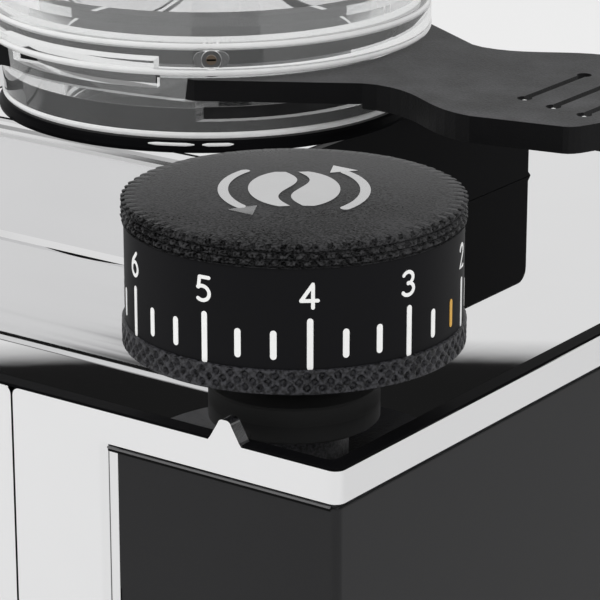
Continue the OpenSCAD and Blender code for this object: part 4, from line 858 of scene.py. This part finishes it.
@dataclass
class Hopper:
    """Painted highlights on the clear hopper's edges, painted shade in its base and in the slider's
    slots, and painted glints on the gasket and at the slots' ends.
    """

    maker: Maker
    slots: tuple[Point2, ...] = ((69.8, 9.2), (76.2, 11.0), (82.6, 12.4))
    slot_wide: float = 1.3 * MM
    slot_floor: Point2 = (-1.7 * MM, -1.45 * MM)
    flange_h: float = 5.3 * MM

    def __post_init__(self) -> None:
        """Reads the hopper's axis and levels from its nodes."""
        low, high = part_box("hopper_base")
        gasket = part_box("hopper_gasket")
        self.centre: Point2 = ((gasket[0].x + gasket[1].x) / 2, (gasket[0].y + gasket[1].y) / 2)
        self.flange_r = (high.x - low.x) / 2
        self.foot_r = (gasket[1].x - gasket[0].x) / 2 - 1.1 * MM
        self.seat = gasket[1].z + 0.3 * MM
        self.top = high.z

    def highlight_ring(self, name: str, radius: float, z: float, thick: float, body: str) -> None:
        """One white ring of painted highlight along a rounded edge.

        Args:
            name: the piece's name.
            radius: from the axis to the middle of its section.
            z: the height of its middle.
            thick: its height; it stands half as deep.
            body: the body it rides on.
        """
        section = [(radius + x, z + y) for x, y in arc(0, 0, thick * 0.3, thick / 2, 0, 330, 11)]
        self.maker.turned(name, section, self.centre, PAINTED_HIGHLIGHT, body, "clear_base", columns=240)

    def slot_parts(self) -> None:
        """Painted shade on the floors of the slider's slots, and a white stud of painted glint at each
        near end.
        """
        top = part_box("gate_slider")[1].z
        cx, cy = self.centre
        for n, (x, half) in enumerate(self.slots):
            path = [(x * MM, -half * MM), (x * MM, half * MM)]
            outline = stroke(path, self.slot_wide)

            def place(u: float, v: float, h: float) -> Vector:
                """From the slider's own axes to a point."""
                return Vector((cx + u, cy + v, top + h))

            # Painted shade: a black floor sunk in each slot, where its shadow falls.
            verts, faces = self.maker.prism(outline, place, *self.slot_floor)
            self.maker.piece(f"slot_shade_floor_{n}", verts, faces, SHADE_BLACK, "gate", "gate_black")
            # Painted glint: a white stud at the slot's near end.
            stud = [(0.01 * MM, top - 1.5 * MM), (0.55 * MM, top - 1.5 * MM),
                    (0.55 * MM, top - 0.7 * MM), (0.35 * MM, top - 0.3 * MM),
                    (0.01 * MM, top - 0.2 * MM)]
            self.maker.turned(f"slot_glint_stud_{n}", stud, (cx + x * MM, cy - half * MM), PAINTED_HIGHLIGHT,
                              "gate", "gate_black", columns=24)

    def build(self) -> None:
        """Makes the hopper's added pieces."""
        # Painted highlight: white rings along the clear base's foot and the flange's two edges.
        self.highlight_ring("base_foot_highlight", self.foot_r + 0.1 * MM, self.seat + 0.55 * MM,
                       1.0 * MM, "hopper")
        self.highlight_ring("flange_low_highlight", self.flange_r - 0.25 * MM,
                       self.top - self.flange_h + 0.6 * MM, 1.2 * MM, "hopper")
        self.highlight_ring("flange_high_highlight", self.flange_r - 0.3 * MM, self.top - 0.5 * MM,
                       1.1 * MM, "hopper")
        # Painted shade: a dark ring inside the clear base's lower wall.
        inner, outer = self.foot_r - 1.9 * MM, self.foot_r - 1.4 * MM
        self.maker.turned("base_shade_insert", [(inner, self.seat + 0.6 * MM), (outer, self.seat + 0.6 * MM),
                                          (outer, self.seat + 4.9 * MM), (inner, self.seat + 4.9 * MM)],
                          self.centre, SHADE_SLEEVE, "hopper", "clear_base", columns=200)
        self.lock_screw()
        self.glints()
        self.slot_parts()
        # The deck doesn't mirror the hopper and its small parts, so that its front stays dark.
        for name in ("hopper_base", "hopper_body", "hopper_gasket", "gate_slider", "hopper_lid"):
            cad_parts[name].visible_glossy = False
        for made in self.maker.made:
            if made.name.startswith(("base_", "flange_", "clip_", "slot_", "screw_")):
                made.visible_glossy = False

    def lock_screw(self) -> None:
        """A small slotted head with painted shade in its recess and its slot, in place of the plain
        screw.
        """
        low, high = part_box("hopper_lock_screw")
        middle = (low + high) / 2
        out = Vector((middle.x - self.centre[0], middle.y - self.centre[1], 0)).normalized()
        across = Vector((-out.y, out.x, 0))
        face = Vector((self.centre[0], self.centre[1], middle.z)) + out * (self.flange_r - 0.35 * MM)

        def place(u: float, v: float, h: float) -> Vector:
            """From the screw's face to a point."""
            return face + across * u + Vector((0, 0, v)) + out * h

        bar = [(x * 0.75 * MM, y * 0.16 * MM) for x, y in ((-1, -1), (1, -1), (1, 1), (-1, 1))]
        # Painted shade in the recess behind the head and in the head's slot.
        for name, outline, back, front, finish in (
                ("screw_recess_shade", stroke([(-1.6 * MM, 0), (1.6 * MM, 0)], 2.6 * MM), -1.2, -0.3, HIGHLIGHT_AND_SHADE_GREY),
                ("screw_head", arc(0, 0, 0.85 * MM, 0.8 * MM, 0, 350, 35), -1.1, 0.1, LOCK_SCREW),
                ("screw_slot_shade", bar, 0.05, 0.12, SHADE_BLACK)):
            verts, faces = self.maker.prism(outline, place, back * MM, front * MM)
            self.maker.piece(name, verts, faces, finish, "hopper", "clear_base",
                             ["hopper_lock_screw"] if name == "screw_head" else ())

    def glints(self) -> None:
        """Two short white stretches of painted glint on the gasket, shaped as the wire of a clip."""
        radius, z, wire = self.foot_r + 1.15 * MM, self.seat - 0.75 * MM, 0.28 * MM
        cx, cy = self.centre
        for name, start, end in (("clip_glint_left", 291.5, 303.5), ("clip_glint_right", 305.5, 313.5)):
            steps, sides = 16, 8
            verts, faces = [], []
            for i in range(steps + 1):
                a = math.radians(start + (end - start) * i / steps)
                thick = wire * min(1.0, 0.35 + 4 * min(i, steps - i) / steps)
                for k in range(sides):
                    b = 2 * math.pi * k / sides
                    r = radius + thick * 0.5 * math.cos(b)
                    verts.append(Vector((cx + r * math.cos(a), cy + r * math.sin(a),
                                         z + thick * math.sin(b))))
            for i in range(steps):
                for k in range(sides):
                    m = (k + 1) % sides
                    faces.append((i * sides + k, i * sides + m,
                                  (i + 1) * sides + m, (i + 1) * sides + k))
            faces += [tuple(range(sides)), tuple(steps * sides + k for k in range(sides))]
            self.maker.piece(name, verts, faces, PAINTED_HIGHLIGHT, "case", "gasket_black", angle=60)


# ------------------------------------------------------------------ studio


@dataclass
class Studio:
    """Pale floor, soft light and the camera.

    Attributes are the camera's turn and pitch in degrees, its lens in millimetres, its
    distances from the case's corner and deck, a small step to its left, the tones of the
    surround, and the heights of direction between which mirrors see it turn dark and back.
    """

    azimuth: float = 35.81
    pitch: float = 18.45
    lens: float = 180.0
    reach: tuple[float, float, float] = (215.25 * MM, 306.8 * MM, 152.3 * MM)
    slip: float = 0.2 * MM
    pale: float = 0.84
    even: float = 0.72
    dark: float = 0.012
    overhead: float = 0.8
    turns: tuple[float, ...] = (0.331, 0.334, 0.56, 0.72)
    aim: tuple[float, ...] = (0, 0, 0.25)

    def floor(self) -> None:
        """A wide floor that keeps the grinder's shadow."""
        mesh = bpy.data.meshes.new("studio_floor")
        size = 14.0
        mesh.from_pydata([(-size, -size, 0), (size, -size, 0), (size, size, 0), (-size, size, 0)], [],
                         [(0, 1, 2, 3)])
        made = bpy.data.objects.new("studio_floor", mesh)
        bpy.context.scene.collection.objects.link(made)
        material = bpy.data.materials.new("studio_floor_paint")
        tree = Tree(material)
        place = tree.node("ShaderNodeTexCoord", out="Object")
        grain = tree.noise(place, 0.4, 2.0)
        shade = tree.mix(grain, (0.8, 0.8, 0.8), (0.83, 0.83, 0.83))
        shader = tree.node("ShaderNodeBsdfPrincipled", {}, {"Base Color": shade, "Roughness": 0.7})
        glow = tree.node("ShaderNodeEmission", {}, {"Color": (1.0, 1.0, 1.0), "Strength": 1.0})
        seen = tree.node("ShaderNodeLightPath", out="Is Camera Ray")
        both = tree.node("ShaderNodeMixShader", {}, {0: seen * 0.5, 1: shader, 2: glow})
        tree.node("ShaderNodeOutputMaterial", {}, {"Surface": both})
        mesh.materials.append(material)

    def sky(self) -> None:
        """A pale surround, with a dark band between two heights that only mirrors see."""
        world = bpy.data.worlds.new("studio_world")
        bpy.context.scene.world = world
        tree = Tree(world)
        camera = tree.node("ShaderNodeLightPath", out="Is Camera Ray")
        glossy = tree.node("ShaderNodeLightPath", out="Is Glossy Ray")
        clear = tree.node("ShaderNodeLightPath", out="Is Transmission Ray")
        way = tree.node("ShaderNodeTexCoord", out="Generated")
        height = tree.node("ShaderNodeSeparateXYZ", {}, {0: way}, "Z")
        tones = (self.pale, self.pale, self.dark, self.dark, self.overhead)
        wall = tree.node("ShaderNodeValToRGB", {"stops": [
            (at, (tone, tone, tone)) for at, tone in zip((0.0, *self.turns), tones)]}, {0: height})
        strength = (self.even + camera * (self.pale - self.even) + glossy * (wall - self.even)
                    + clear * (self.pale - self.even))
        back = tree.node("ShaderNodeBackground", {}, {"Color": (1.0, 1.0, 1.0), "Strength": strength})
        tree.node("ShaderNodeOutputWorld", {}, {"Surface": back})

    def lamp(self, name: str, place: Sequence[float], aim: Sequence[float], size: float,
             power: float) -> None:
        """One square soft light."""
        data = bpy.data.lights.new(name, "AREA")
        data.shape = "SQUARE"
        data.size = size
        data.energy = power
        made = bpy.data.objects.new(name, data)
        made.location = Vector(place)
        made.rotation_mode = "QUATERNION"
        made.rotation_quaternion = (Vector(aim) - Vector(place)).to_track_quat("-Z", "Y")
        made.visible_glossy = False
        bpy.context.scene.collection.objects.link(made)

    def lamps(self) -> None:
        """Key from the upper left and a weaker fill."""
        self.lamp("key_light", (-1.1, -0.9, 1.9), self.aim, 1.2, 16)
        self.lamp("fill_light", (1.5, -0.6, 1.3), self.aim, 1.2, 7)

    def camera(self) -> None:
        """The camera, placed from the case's front right corner and the deck."""
        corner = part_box("corner_frame_right")
        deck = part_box("top_deck")[1].z
        data = bpy.data.cameras.new("camera")
        data.lens = self.lens
        data.sensor_width = 36.0
        data.clip_start = 0.02
        made = bpy.data.objects.new("camera", data)
        a, p = math.radians(self.azimuth), math.radians(self.pitch)
        made.location = (corner[1].x + self.reach[0] - self.slip * math.cos(a),
                         corner[0].y - self.reach[1] - self.slip * math.sin(a),
                         deck + self.reach[2])
        aim = Vector((-math.sin(a) * math.cos(p), math.cos(a) * math.cos(p), -math.sin(p)))
        made.rotation_mode = "QUATERNION"
        made.rotation_quaternion = aim.to_track_quat("-Z", "Y")
        bpy.context.scene.collection.objects.link(made)
        bpy.context.scene.camera = made

    def build(self) -> None:
        """Sets up the whole studio."""
        self.camera()
        self.floor()
        self.sky()
        self.lamps()
        bpy.context.scene.view_settings.view_transform = "Standard"


def main() -> None:
    """Builds the pieces in order."""
    logging.basicConfig(level=logging.INFO, format="%(name)s: %(message)s")
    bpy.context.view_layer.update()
    Studio().build()
    maker = Maker()
    CaseWork(maker).dress()
    Knob(maker).build()
    Hopper(maker).build()
    log.info("%d pieces made", len(maker.made))


if __name__ == "__main__":
    main()
